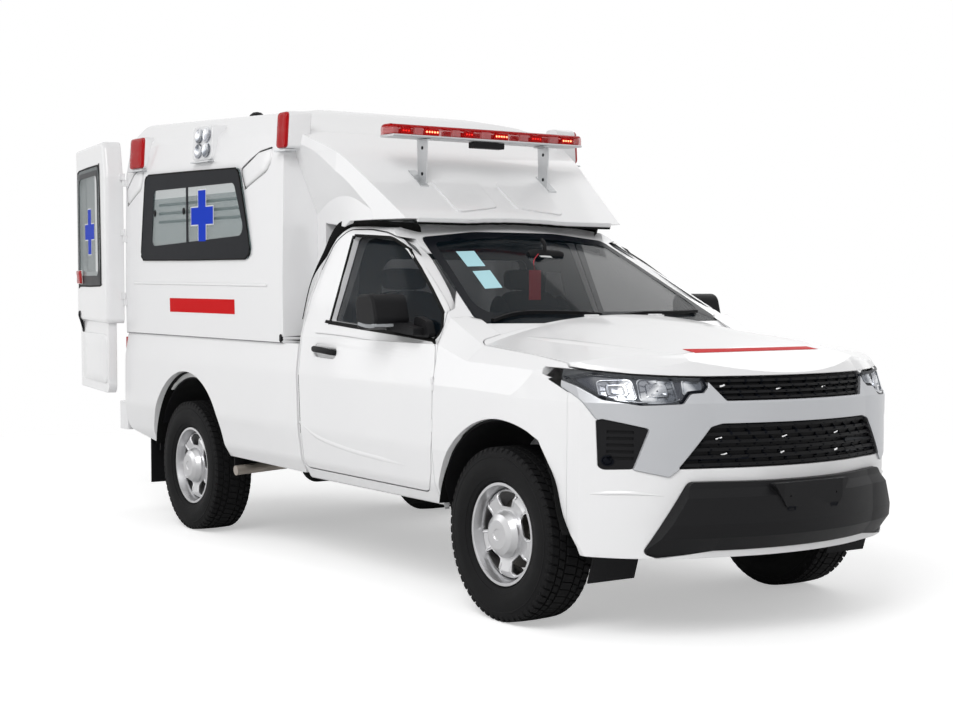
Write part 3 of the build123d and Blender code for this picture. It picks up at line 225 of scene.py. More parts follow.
def make_looks():
    """Every finish of the ambulance, under its name in looks."""
    sizes = bpy.context.scene.ambulance_sizes
    white_paint()
    finish_of("black_plastic", (0.009, 0.009, 0.010), 0.5, 900, 0.0004, edge=0.002, shine=0.12)
    finish_of("gloss_black", (0.004, 0.005, 0.008), 0.35, tint=0.1, shine=0.06)
    finish_of("rubber_seal", (0.005, 0.005, 0.005), 0.6, 500, 0.0003, shine=0.08)
    finish_of("silver_band", (0.50, 0.51, 0.53), 0.36, 700, 0.0001, metal=0.8, coat=0.2, edge=0.004)
    finish_of("wheel_silver", (0.60, 0.60, 0.61), 0.30, 300, 0.0001, metal=0.85, coat=0.2, edge=0.0015)
    finish_of("chrome", (0.85, 0.85, 0.86), 0.07, tint=0.01, metal=1.0, wear=0.02)
    finish_of("frame_black", (0.010, 0.010, 0.010), 0.6, 220, 0.0006, tint=0.3, shine=0.12)
    finish_of("cast_metal", (0.14, 0.13, 0.12), 0.65, 260, 0.0012, tint=0.3, metal=0.5)
    finish_of("exhaust_steel", (0.40, 0.36, 0.32), 0.42, 120, 0.0004, tint=0.25, metal=0.8)
    finish_of("bracket_grey", (0.55, 0.56, 0.57), 0.38, 400, 0.0002, metal=0.8, edge=0.001)
    finish_of("seat_cloth", (0.030, 0.031, 0.036), 0.85, 700, 0.0012, fine=0.4, shine=0.2)
    finish_of("interior_grey", (0.030, 0.031, 0.034), 0.6, 600, 0.0005, shine=0.2)
    finish_of("floor_grey", (0.62, 0.63, 0.62), 0.4, 300, 0.0003)
    finish_of("lining_white", (0.74, 0.75, 0.75), 0.42, 240, 0.0003, edge=0.003)
    finish_of("tyre_rubber", (0.009, 0.009, 0.0095), 0.66, 420, 0.0006, tint=0.25, wear=0.08, shine=0.1)
    finish_of("red_film", sizes.stripe_red, 0.5, tint=0.02, shine=0.05)
    finish_of("blue_film", sizes.cross_blue, 0.5, tint=0.03, shine=0.05)
    finish_of("pale_blue_label", (0.42, 0.72, 0.78), 0.4, tint=0.03)
    finish_of("red_tag", (0.75, 0.015, 0.04), 0.5, tint=0.03)
    glass_of("window_tint", (0.004, 0.010, 0.016), 0.42, coat=0.03, shine=0.1)
    glass_of("screen_tint", (0.004, 0.010, 0.015), 0.38, coat=0.03, shine=0.08)
    glass_of("side_tint", (0.17, 0.24, 0.245), 0.36)
    glass_of("lamp_cover", (0.55, 0.58, 0.62), 0.10)
    glass_of("red_cover", (0.50, 0.003, 0.006), 0.82, rough=0.08, coat=0.0, shine=0.12)
    glow_of("red_led", (1.0, 0.30, 0.14), 7.0)
    glow_of("red_led_dim", (0.9, 0.03, 0.02), 1.6)
    glass_of("bar_red", (0.72, 0.006, 0.006), 0.42, coat=0.0, shine=0.1)
    glass_of("bar_dark", (0.32, 0.003, 0.004), 0.92, coat=0.0, shine=0.1)
    glass_of("module_clear", (0.62, 0.52, 0.53), 0.85, rough=0.12)
    glass_of("amber_cover", (0.80, 0.25, 0.02), 0.85, rough=0.08)
    finish_of("bar_reflector", (0.35, 0.008, 0.008), 0.35, tint=0.05, shine=0.1)
    finish_of("red_reflector", (0.40, 0.006, 0.008), 0.3, tint=0.05, shine=0.1)
    finish_of("lamp_navy", (0.006, 0.009, 0.022), 0.22, tint=0.1, shine=0.4)
    make_reflection_chrome()
    finish_of("guard_black", (0.010, 0.010, 0.011), 0.42, 700, 0.0003, edge=0.003, shine=0.14)
    finish_of("lining_grey", (0.085, 0.088, 0.092), 0.75, 500, 0.0004, shine=0.2)
    finish_of("seam_grey", (0.20, 0.20, 0.21), 0.6, shine=0.1)
    glass_of("clear_lens", (0.50, 0.52, 0.54), 0.75, rough=0.06)
    # pale grey of the painted shade in the door handles' recesses
    finish_of("shade_white", (0.74, 0.74, 0.75), 0.35, tint=0.02)
    finish_of("mirror_face", (0.75, 0.77, 0.80), 0.03, tint=0.01, metal=1.0, wear=0.01)
    finish_of("vinyl_blue", (0.05, 0.10, 0.20), 0.42, 380, 0.0006, tint=0.06)


# finish of each of the frame's slots
node_looks = {
    "white_paint": "white_paint", "black_plastic": "black_plastic", "silver_band": "silver_band",
    "frame_black": "frame_black", "cast_metal": "cast_metal", "exhaust_steel": "exhaust_steel",
    "tyre": "tyre_rubber", "wheel_silver": "wheel_silver", "glass_clear": "window_tint",
    "lamp_glass": "lamp_cover", "red_lens": "red_cover", "bracket_grey": "bracket_grey",
    "seat_cloth": "seat_cloth", "interior_grey": "interior_grey", "floor_grey": "floor_grey",
}


# solids with a finish of their own
own_looks = {
    "bumper_guard": "guard_black", "windscreen": "screen_tint", "side_windows": "side_tint",
    "rear_glass_left": "side_tint", "rear_glass_right": "side_tint", "interior_fittings": "lining_white",
}


def dress_nodes():
    """Every carried-over solid gets the procedural finish of its slot, or its own."""
    make_looks()
    for part in frame["record"]["subparts"]:
        node = part["node"]
        look = looks[own_looks.get(node, node_looks[part["material_slot"]])]
        target = frame["nodes"][node]
        if not target.material_slots:
            target.data.materials.append(look)
        for place in target.material_slots:
            place.material = look


# ---------------------------------------------------------------- mesh helpers
# frame's slot of each finish that has one
slot_of = {
    "white_paint": "white_paint", "black_plastic": "black_plastic", "gloss_black": "black_plastic",
    "rubber_seal": "black_plastic", "tyre_rubber": "tyre", "wheel_silver": "wheel_silver",
    "chrome": "wheel_silver", "lamp_cover": "lamp_glass", "red_cover": "red_lens",
    "bracket_grey": "bracket_grey", "seat_cloth": "seat_cloth", "interior_grey": "interior_grey",
    "lining_white": "floor_grey", "red_film": "red_lens",
}


def at(x, y, z):
    """Point given from the front axle."""
    return Vector((x + shift, y, z))


def piece(name, verts, faces, look, body="vehicle", sharp=35, round_off=0.0, smooth=0, mesh=None):
    """Object of the points and faces (or of a finished mesh), with its finish, riding on a body."""
    if mesh is None:
        mesh = bpy.data.meshes.new(name)
        mesh.from_pydata([tuple(v) for v in verts], [], [tuple(f) for f in faces])
        build = bmesh.new()
        build.from_mesh(mesh)
        bmesh.ops.remove_doubles(build, verts=build.verts, dist=1e-6)
        bmesh.ops.recalc_face_normals(build, faces=build.faces)
        build.to_mesh(mesh)
        build.free()
        mesh.materials.append(looks[look])
        mesh.shade_smooth()
        mesh.set_sharp_from_angle(angle=math.radians(sharp))
    made = bpy.data.objects.new(name, mesh)
    bpy.context.scene.collection.objects.link(made)
    if round_off:
        bevel = made.modifiers.new("edges", "BEVEL")
        bevel.width, bevel.segments, bevel.limit_method = round_off, 2, "ANGLE"
        bevel.harden_normals = True
    if smooth:
        divide = made.modifiers.new("form", "SUBSURF")
        divide.levels = divide.render_levels = smooth
    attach(made, body)
    look in slot_of
    return made


def joined(shapes):
    """One list of points and one of faces from several."""
    verts, faces = [], []
    for points, corners in shapes:
        base = len(verts)
        verts += list(points)
        faces += [[base + i for i in face] for face in corners]
    return verts, faces


def grid(rows, closed_u=False, closed_v=False, caps=False):
    """Faces over rows of points; u runs along a row, v from row to row."""
    count, width = len(rows), len(rows[0])
    verts = [p for row in rows for p in row]
    faces = []
    for j in range(count if closed_v else count - 1):
        for i in range(width if closed_u else width - 1):
            a, b = j * width + i, j * width + (i + 1) % width
            k = ((j + 1) % count) * width
            faces.append((a, b, k + (i + 1) % width, k + i))
    if caps:
        faces += [tuple(range(width)), tuple(range((count - 1) * width, count * width))[::-1]]
    return verts, faces


def tube(rows):
    """Closed body over loops of points, with a face at each end."""
    return grid(rows, closed_u=True, caps=True)


def sweep(path, section, up=(0, 0, 1), closed=False):
    """Section of (side, up) points carried along a path."""
    path = [Vector(p) for p in path]
    rows = []
    for i, here in enumerate(path):
        ahead = path[(i + 1) % len(path)] if closed or i + 1 < len(path) else here
        behind = path[i - 1] if closed or i else here
        along = (ahead - behind).normalized()
        rise = Vector(up[i]) if isinstance(up, list) else Vector(up)
        side = along.cross(rise).normalized()
        rise = side.cross(along)
        rows.append([here + side * a + rise * b for a, b in section])
    return grid(rows, closed_u=True, closed_v=closed, caps=not closed)


def turns(count):
    """Angles of a full turn in equal steps."""
    return [math.tau * i / count for i in range(count)]


def ring(radius, count=10):
    return [(radius * math.cos(a), radius * math.sin(a)) for a in turns(count)]


def oval(u, v, wide, tall, count):
    """Round or oval outline about a spot."""
    return [Vector((u + wide * math.cos(a), v + tall * math.sin(a))) for a in turns(count)]


def flat(*spots):
    """Outline with plain corners."""
    return [Vector(spot) for spot in spots]


def curve(points, steps=6, closed=False):
    """Smooth path through the points."""
    points = [Vector(p) for p in points]
    count = len(points)
    found = []
    for i in range(count if closed else count - 1):
        near = [(i + k) % count if closed else min(max(i + k, 0), count - 1) for k in (-1, 0, 1, 2)]
        a, b, c, d = (points[k] for k in near)
        for step in range(steps):
            t = step / steps
            found.append(0.5 * (2 * b + (c - a) * t + (2 * a - 5 * b + 4 * c - d) * t * t
                                + (3 * b - a - 3 * c + d) * t ** 3))
    return found if closed else found + [points[-1]]


def rounded(rows, steps=5):
    """Outline from rows of (u, v, corner radius)."""
    found = []
    count = len(rows)
    for i, (u, v, radius) in enumerate(rows):
        here = Vector((u, v))
        back = (Vector(rows[i - 1][:2]) - here).normalized()
        ahead = (Vector(rows[(i + 1) % count][:2]) - here).normalized()
        if not radius:
            found.append(here)
            continue
        half = math.acos(max(-1, min(1, back.dot(ahead)))) / 2
        reach = radius / math.tan(half)
        centre = here + (back + ahead).normalized() * (radius / math.sin(half))
        start, end = here + back * reach - centre, here + ahead * reach - centre
        turn = start.angle_signed(end)
        for step in range(steps + 1):
            angle = -turn * step / steps
            c, s = math.cos(angle), math.sin(angle)
            found.append(centre + Vector((start.x * c - start.y * s, start.x * s + start.y * c)))
    return found


def grown(outline, amount):
    """Outline moved outwards along its normals."""
    count = len(outline)
    area = sum(outline[i - 1].x * outline[i].y - outline[i].x * outline[i - 1].y for i in range(count))
    sign = 1 if area > 0 else -1
    found = []
    for i, here in enumerate(outline):
        along = (outline[(i + 1) % count] - outline[i - 1]).normalized()
        found.append(here + Vector((along.y, -along.x)) * amount * sign)
    return found


def inside(point, outline):
    """Whether a flat point lies within the outline."""
    hit = False
    for i, b in enumerate(outline):
        a = outline[i - 1]
        if (a.y > point.y) != (b.y > point.y) and point.x < (b.x - a.x) * (point.y - a.y) / (b.y - a.y) + a.x:
            hit = not hit
    return hit


def filled(outer, holes=(), spacing=0.05):
    """Triangles over an outline with holes, with inner points on a grid."""
    points, edges = [], []
    for loop in (outer, *holes):
        base = len(points)
        points += loop
        edges += [(base + i, base + (i + 1) % len(loop)) for i in range(len(loop))]
    low = Vector((min(p.x for p in outer), min(p.y for p in outer)))
    high = Vector((max(p.x for p in outer), max(p.y for p in outer)))
    for i in range(1, int((high.x - low.x) / spacing) + 1):
        for j in range(1, int((high.y - low.y) / spacing) + 1):
            spot = low + Vector((i, j)) * spacing
            near = min((spot - p).length for p in points[:len(outer)])
            if near > spacing * 0.35 and inside(spot, outer):
                points.append(spot)
    verts, _, faces, *_ = delaunay_2d_cdt(points, edges, [], 0, 1e-6)
    kept = []
    for face in faces:
        middle = sum((verts[i] for i in face), Vector((0, 0))) / len(face)
        if inside(middle, outer) and not any(inside(middle, hole) for hole in holes):
            kept.append(face)
    return verts, kept


class Skin:
    """Outer surfaces of some solids, for laying thin pieces on them."""

    def __init__(self, *nodes):
        verts, faces = [], []
        for node in nodes:
            source = frame["nodes"][node]
            base = len(verts)
            verts += [source.matrix_world @ v.co for v in source.data.vertices]
            faces += [[base + i for i in f.vertices] for f in source.data.polygons]
        self.tree = BVHTree.FromPolygons(verts, faces)

    def hit(self, start, toward):
        point, normal, _, _ = self.tree.ray_cast(start, toward)
        if point is None:
            point, normal, _, _ = self.tree.find_nearest(start + toward * 2)
        return point, (normal if normal.dot(toward) < 0 else -normal)


# views give a ray's start and direction for a spot of an outline
def side_view(sign):
    return lambda u, v: (Vector((u + shift, sign * 3, v)), Vector((0, -sign, 0)))


def front_view(u, v):
    return Vector((6, u, v)), Vector((-1, 0, 0))


def top_view(u, v):
    return Vector((u + shift, v, 6)), Vector((0, 0, -1))


def back_view(u, v):
    """From behind; u runs to the vehicle's right."""
    return Vector((-9 + shift, -u, v)), Vector((1, 0, 0))


def room_view(u, v):
    """From inside the patient room towards the rear doors."""
    return Vector((-3.90 + shift, -u, v)), Vector((-1, 0, 0))


def laid(skin, view, outer, holes=(), spacing=0.05, lift=0.0, thick=0.0015):
    """Thin closed sheet over an outline, following the skin under it."""
    sheet, faces = filled(outer, holes, spacing)
    low, high = [], []
    for spot in sheet:
        point, normal = skin.hit(*view(spot.x, spot.y))
        low.append(point + normal * lift)
        high.append(point + normal * (lift + thick))
    count = len(sheet)
    used = dict.fromkeys((face[i - 1], face[i]) for face in faces for i in [*range(1, len(face)), 0])
    shell = [tuple(i + count for i in face) for face in faces] + [tuple(face[::-1]) for face in faces]
    for a, b in used:
        if (b, a) not in used:
            shell.append((a, b, b + count, a + count))
    return low + high, shell


def lathe(profile, count):
    """Profile of (out, radius) turned about the axle's line."""
    rows = [[Vector((r * math.sin(a), out, r * math.cos(a))) for out, r in profile] for a in turns(count)]
    return grid(rows, closed_v=True)


def box(low, high):
    (a, b, c), (d, e, f) = low, high
    verts = flat((a, b, c), (d, b, c), (d, e, c), (a, e, c), (a, b, f), (d, b, f), (d, e, f), (a, e, f))
    return verts, [(0, 3, 2, 1), (4, 5, 6, 7), (0, 1, 5, 4), (1, 2, 6, 5), (2, 3, 7, 6), (3, 0, 4, 7)]


def moved(shape, matrix):
    verts, faces = shape
    return [matrix @ v for v in verts], faces


# ---------------------------------------------------------------- wheels
tread_edge = 0.1045        # from the tyre's middle to the edge of its tread
tread_rows = [
    # across the tread: inner edge, outer edge, share of the pitch, stagger
    (-tread_edge, -0.072, 0.78, 0.0), (-0.064, -0.036, 0.86, 0.5), (-0.029, 0.029, 0.90, 0.2),
    (0.036, 0.064, 0.86, 0.7), (0.072, tread_edge, 0.78, 0.4),
]
spokes = 5


def tyre_shape():
    """Radial tyre: banded side walls and five rows of tread blocks."""
    half = [
        # out, radius, from the bead to the shoulder
        (0.0843, 0.2095), (0.0843, 0.2225), (0.094, 0.2265), (0.101, 0.231), (0.1045, 0.240), (0.1085, 0.247),
        (0.1105, 0.2475), (0.1125, 0.2555), (0.1165, 0.268), (0.1195, 0.282), (0.1202, 0.292), (0.1198, 0.305),
        (0.1185, 0.318), (0.1165, 0.3265), (0.1175, 0.329), (0.1172, 0.3315), (0.1148, 0.334), (0.1125, 0.343),
        (0.1115, 0.3475), (0.1092, 0.3505), (0.1085, 0.356), (0.1045, 0.3605), (0.098, 0.3635), (0.06, 0.3645),
    ]
    shapes = [lathe(half + [(0.0, 0.3655)] + [(-out, r) for out, r in half[::-1]], 120)]
    blocks = bpy.context.scene.ambulance_sizes.tread_blocks
    pitch = math.tau / blocks
    for inner, outer, share, stagger in tread_rows:
        for block in range(blocks):
            start = (block + stagger) * pitch
            shapes.append(tread_block(inner, outer, start, pitch * share))
            if tread_edge in (-inner, outer):
                lug_out = math.copysign(tread_edge, inner + outer)
                shapes.append(shoulder_lug(lug_out, start, pitch * share * 0.82))
    return joined(shapes)


def crown(out):
    """Radius of the tread at a distance from its middle."""
    return tyre_radius - 0.0035 * (abs(out) / 0.105) ** 2.2


def tread_block(inner, outer, start, width):
    """Slanted block with chamfered edges; start and width are angles."""
    slant = 0.35 * width
    verts = []
    for drop, chamfer in ((0.0105, 0.0), (0.0015, 0.0003), (0.0, 0.0016)):
        for out, angle in ((inner + chamfer, start), (outer - chamfer, start + slant),
                           (outer - chamfer, start + slant + width), (inner + chamfer, start + width)):
            trim = chamfer / tyre_radius * (1 if angle < start + slant + 0.5 * width else -1)
            radius = crown(out) - drop
            verts.append(Vector((radius * math.sin(angle + trim), out, radius * math.cos(angle + trim))))
    faces = [(8, 9, 10, 11)]
    for level in (0, 4):
        faces += [(level + i, level + (i + 1) % 4, level + 4 + (i + 1) % 4, level + 4 + i) for i in range(4)]
    return verts, faces


def shoulder_lug(out, start, width):
    """Ribbed end of a shoulder block, down the side wall."""
    sign = math.copysign(1, out)
    rows = []
    for lift, radius in ((0.0, 0.371), (0.0058, 0.3585), (0.0068, 0.349), (0.0060, 0.344)):
        place = out + sign * lift
        rows.append([Vector((radius * math.sin(a), place, radius * math.cos(a)))
                     for a in (start, start + width * 0.08, start + width * 0.92, start + width)])
    rows[0][0].y = rows[0][3].y = out - sign * 0.004
    for row in rows[1:]:
        row[0].y -= sign * 0.004
        row[3].y -= sign * 0.004
    return grid(rows)


def wheel_dressing():
    """Ridges beside the spokes of the pressed wheel."""
    shapes = []
    for turn in range(spokes):
        angle = math.tau * (turn + 0.5) / spokes
        for side in (-1, 1):
            ridge = []
            for r, out, spread in ((0.108, -0.0605, 0.036), (0.135, -0.0695, 0.034), (0.160, -0.0705, 0.040),
                                   (0.176, -0.057, 0.047)):
                ridge.append(Vector((side * spread, out, r)))
            path = [Matrix.Rotation(angle, 3, "Y") @ p for p in curve(ridge, 5)]
            shapes.append(sweep(path, ring(0.0048, 8), up=(0, -1, 0)))
    return joined(shapes)


def valve_shape():
    stem = [(-0.078, 0.0), (-0.078, 0.004), (-0.060, 0.0045), (-0.056, 0.007), (-0.052, 0.0)]
    return moved(lathe(stem, 12), Matrix.Translation((0.176, 0, 0.02)))


def make_wheels():
    """Tyres with tread and the trim of the steel wheels; all four wheels share their meshes."""
    kinds = [
        ("tread_tyre", tyre_shape, "tyre_rubber", 28), ("wheel_ridges", wheel_dressing, "wheel_silver", 60),
        ("wheel_valve", valve_shape, "rubber_seal", 35),
    ]
    meshes = {}
    for end, x in (("front", 0.0), ("rear", -wheelbase)):
        for name, side in (("left", 1), ("right", -1)):
            body = f"wheel_{end}_{name}"
            spot = Matrix.Translation(at(x, side * half_track, axle_z))
            turn = spot @ Matrix.Rotation(math.pi if side > 0 else 0, 4, "Z")
            for kind, shape, look, sharp in kinds:
                mesh = meshes.get(kind)
                verts, faces = ((), ()) if mesh else shape()
                made = piece(f"{kind}_{end}_{name}", verts, faces, look, body, sharp=sharp, mesh=mesh)
                meshes[kind] = made.data
                place_on(made, turn, body)
                if kind == "tread_tyre":
                    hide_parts(f"tyre_{end}_{name}")


def place_on(thing, matrix, body):
    """Puts a finished piece in place and lets it ride again from there."""
    thing.parent = None
    thing.matrix_world = matrix
    bpy.context.view_layer.update()
    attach(thing, body)


# ---------------------------------------------------------------- laying trims on the skin
def drawn(rows, steps=5):
    """Outline in metres from rows of millimetres: (u, v, corner radius)."""
    return rounded([(u / 1000, v / 1000, r / 1000) for u, v, r in rows], steps)


def mirrored(shape):
    """The shape on the vehicle's other side."""
    verts, faces = shape
    return [Vector((v.x, -v.y, v.z)) for v in verts], faces


def raised(skin, view, outer, levels):
    """Closed pad over an outline: levels of (share of the outline, lift) from its foot to its crown."""
    centre = sum(outer, Vector((0, 0))) / len(outer)
    rows = []
    for share, lift in levels:
        row = []
        for spot in outer:
            place = centre + (spot - centre) * share
            point, normal = skin.hit(*view(place.x, place.y))
            row.append(point + normal * lift)
        rows.append(row)
    return tube(rows)


def band(skin, view, spots, section, steps=6, closed=False, lift=0.0, sink=0.0):
    """Section carried along the skin under the spots; its ends may sink into the skin."""
    found = [skin.hit(*view(p.x, p.y)) for p in curve([(u, v, 0) for u, v in spots], steps, closed)]
    path = []
    for i, (point, normal) in enumerate(found):
        share = min(1.0, min(i, len(found) - 1 - i) / 5)
        path.append(point + normal * (lift - sink * (1 - share)))
    return sweep(path, section, [normal for _, normal in found], closed)


def strap(width, height, foot=-0.002):
    """Flat-topped section with soft shoulders."""
    half, soft = width / 2, min(height, width / 3) * 0.6
    return [(-half, foot), (-half, height - soft), (-half + soft, height), (half - soft, height),
            (half, height - soft), (half, foot)]


def both_sides(name, make, look, bodies="vehicle", **more):
    """The piece a function gives for each side, on the side's body."""
    for side, sign in sides:
        body = f"{bodies}_{side}" if bodies == "front_door" else bodies
        piece(f"{name}_{side}", *make(sign), look, body, **more)


def on_sides(name, form, skin, look, *values, bodies="vehicle", sharp=35, **more):
    """Piece on both sides; form is laid, raised or band, and the skin may be one for each side."""
    def make(sign):
        return form(skin[sign] if isinstance(skin, dict) else skin, side_view(sign), *values, **more)

    both_sides(name, make, look, bodies, sharp=sharp)


def pair(name, shape, look, **more):
    """A shape of the right side, and its mirror image on the left."""
    piece(f"{name}_right", *shape, look, **more)
    piece(f"{name}_left", *mirrored(shape), look, **more)


# ---------------------------------------------------------------- side of the ambulance body
# millimetres
side_glass_rows = [(-3510, 1647, 40), (-2286, 1687, 50), (-2414, 1970, 45), (-3479, 1973, 40)]
side_frame_rows = [(-3682, 1563, 45), (-2206, 1558, 60), (-2367, 2050, 60), (-3606, 2072, 60)]
teardrops = {
    "front": [(-2372, 2034, 30), (-2164, 2122, 60), (-2020, 2136, 25), (-2008, 2062, 50), (-2064, 2012, 60),
              (-2316, 1928, 30)],
    "rear": [(-3922, 2000, 20), (-3801, 2100, 60), (-3686, 2126, 25), (-3666, 2060, 50), (-3704, 1990, 60),
             (-3912, 1896, 20)],
}
marker_lamps = [("front", -1915, -1815), ("middle", -2930, -2715), ("rear", -3830, -3640)]

cross_half, cross_arm, cross_edge = 0.142, 0.048, 0.006


def cross_outline(u, v, grow=0.0):
    """Plain cross with equal arms."""
    half, arm = cross_half + grow, cross_arm + grow
    corners = [(arm, arm), (arm, half), (-arm, half), (-arm, arm), (-half, arm), (-half, -arm), (-arm, -arm),
               (-arm, -half), (arm, -half), (arm, -arm), (half, -arm), (half, arm)]
    return [Vector((u + a, v + b)) for a, b in corners]


def make_side_windows():
    """Side windows of the ambulance body: ceramic border, split, rails, knobs and cross."""
    skin = Skin("side_windows")
    frame_line, glass_line = grown(drawn(side_frame_rows), -0.002), drawn(side_glass_rows)
    post = flat((-3.022, 1.655), (-2.998, 1.655), (-2.998, 1.972), (-3.022, 1.972))

    def rails(sign):
        paths = [[at(x, sign * 0.885, z) for x in (-3.50, -2.9, -2.30)] for z in (1.79, 1.84, 1.89)]
        return joined([sweep(path, ring(0.009, 12)) for path in paths])

    def knobs(sign):
        levels = [(1, 0), (1, 0.004), (0.8, 0.008), (0.3, 0.009)]
        return joined([raised(skin, side_view(sign), oval(x, 1.84, 0.013, 0.02, 16), levels)
                       for x in (-3.462, -3.055)])

    on_sides("side_window_border", laid, skin, "gloss_black", frame_line, [glass_line], 0.08, lift=0.0005,
             thick=0.002)
    on_sides("side_window_bead", band, skin, "rubber_seal", frame_line[::2], strap(0.009, 0.004), 2, True)
    on_sides("side_window_post", laid, skin, "gloss_black", post, (), 0.08, lift=0.0006, thick=0.0035)
    both_sides("side_window_rails", rails, "lining_white")
    both_sides("side_window_knobs", knobs, "black_plastic")
    for name, grow, lift, look in (("side_cross_edge", cross_edge, 0.0006, "lining_white"),
                                   ("side_cross", 0.0, 0.0014, "blue_film")):
        on_sides(name, laid, skin, look, cross_outline(-2.815, 1.806, grow), (), 0.06, lift=lift, thick=0.0012)


def make_side_stripes():
    """Plain red bars on the sides and the bonnet."""
    film = {"lift": 0.0004, "thick": 0.0008}
    bar = flat((-3.278, 1.263), (-2.430, 1.263), (-2.430, 1.343), (-3.278, 1.343))
    on_sides("side_bar", laid, Skin("capsule_shell"), "red_film", bar, (), 0.1, **film)
    hood = flat((0.533, -0.350), (0.622, -0.362), (0.617, 0.350), (0.538, 0.362))
    piece("bonnet_bar", *laid(Skin("bonnet"), top_view, hood, (), 0.05, **film), "red_film", "bonnet")


def lamp_line(x0, x1, z0, z1, radius=0.02):
    """Oblong outline with rounded corners."""
    return rounded([(x0, z0, radius), (x1, z0, radius), (x1, z1, radius), (x0, z1, radius)], 4)


lean = 0.06                # of the marker lamps towards the roof's middle


def stood(sign, outline, levels):
    """Upright lamp on the shoulder: levels of (share of the outline, distance from the middle plane)."""
    centre = sum(outline, Vector((0, 0))) / len(outline)
    rows = []
    for share, out in levels:
        spots = [centre + (p - centre) * share for p in outline]
        rows.append([at(p.x, sign * (out - (p.y - lamp_foot_z) * lean), p.y) for p in spots])
    return tube(rows)


# levels of a lamp's cover: share of its outline, lift
dome = [(1.0, 0.004), (1.0, 0.015), (0.985, 0.020), (0.95, 0.0235), (0.8, 0.0265), (0.4, 0.028), (0.05, 0.0285)]


def make_side_lamps():
    """Marker lamps on the roof's shoulders and the tail lamps."""
    for name, *ends in marker_lamps:
        x0, x1 = (x / 1000 for x in ends)
        line = lamp_line(x0, x1, lamp_foot_z, lamp_top_z)

        def base(sign):
            return stood(sign, line, [(1.05, 0.80), (1.05, 0.922), (1.03, 0.925), (0.5, 0.925), (0.05, 0.925)])

        def lip(sign):
            low = lamp_line(x0 - 0.006, x1 + 0.016, 2.100, 2.109, 0.003)
            return stood(sign, low, [(1, 0.88), (1, 0.945), (0.97, 0.948), (0.5, 0.948)])

        def lens(sign):
            return stood(sign, line, [(share, 0.917 + lift) for share, lift in dome])

        def cells(sign):
            bowl = [(1.25, 0.926), (1.2, 0.934), (1.0, 0.934), (0.7, 0.929), (0.3, 0.9265), (0.05, 0.926)]
            spots = [oval(x0 + (x1 - x0) * i, lamp_foot_z + 0.182 * j, (x1 - x0) * 0.17, 0.033, 18)
                     for i in (0.27, 0.73) for j in (0.27, 0.73)]
            return joined([stood(sign, spot, bowl) for spot in spots])

        clear = name == "middle"
        both_sides(f"marker_base_{name}", base, "white_paint")
        both_sides(f"marker_lip_{name}", lip, "bracket_grey")
        both_sides(f"marker_cells_{name}", cells, "bowl_chrome" if clear else "red_reflector")
        both_sides(f"marker_lens_{name}", lens, "lamp_cover" if clear else "red_cover")
    for side, sign in sides:
        y0, y1 = sorted((sign * 0.888, sign * 0.924))
        for name, z0, z1, look in (("stop", 0.985, 1.098, "red_cover"), ("turn", 0.895, 0.981, "amber_cover"),
                                   ("reverse", 0.802, 0.891, "lamp_cover")):
            piece(f"tail_{name}_{side}", *box(at(-3.9465, y0, z0), at(-3.9353, y1, z1)), look, round_off=0.003)
    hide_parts("side_lamps")


def make_body_trim():
    """Mouldings, teardrops, seam, latch and roof dome of the ambulance body."""
    skin = Skin("capsule_shell")
    on_sides("body_moulding", band, skin, "white_paint", [(-3.80, 1.427), (-2.9, 1.422), (-2.045, 1.417)],
             [(-0.013, -0.001), (-0.005, 0.005), (0.001, 0.0055), (0.006, -0.001)], 4)
    pad = [(1, -0.004), (0.985, 0.005), (0.94, 0.010), (0.82, 0.014), (0.5, 0.016), (0.1, 0.016)]
    for end, rows in teardrops.items():
        line = drawn(rows, 4)
        on_sides(f"teardrop_{end}", raised, skin, "white_paint", grown(line, -0.006), pad, sharp=60)
        on_sides(f"teardrop_seal_{end}", band, skin, "rubber_seal", line, strap(0.006, 0.0025), 2, True)
    on_sides("body_seam", band, Skin("capsule_shell", "lower_sides"), "seam_grey",
             [(x, 1.1255) for x in (-3.93, -3.3, -2.6, -1.88)], strap(0.0045, 0.0010), 2)
    on_sides("body_latch", raised, Skin("capsule_shell", "cab_fairing"), "black_plastic",
             lamp_line(-1.905, -1.857, 1.128, 1.170, 0.008),
             [(1, -0.002), (1, 0.006), (0.8, 0.011), (0.35, 0.012), (0.05, 0.012)])
    levels = [(1.1, -0.004), (1.1, 0.006), (0.9, 0.010), (0.8, 0.030), (0.45, 0.046), (0.05, 0.050)]
    piece("roof_dome", *raised(skin, top_view, oval(-3.42, -0.28, 0.055, 0.055, 24), levels), "black_plastic")


# the bumper's and wing's faces ahead of the front wheel, side view
front_arch_line = flat((0.52, 0.20), (0.48, 0.385), (0.418, 0.51), (0.385, 0.645), (0.29, 0.80), (0.10, 0.90),
                       (-0.70, 0.90))


def crossing(origin, toward, a, b):
    """Distance along a ray to a segment, or None."""
    across = b - a
    fall = toward.x * across.y - toward.y * across.x
    if abs(fall) < 1e-9:
        return None
    gap = a - origin
    reach = (gap.x * across.y - gap.y * across.x) / fall
    share = (gap.x * toward.y - gap.y * toward.x) / fall
    return reach if reach > 0 and 0 <= share <= 1 else None


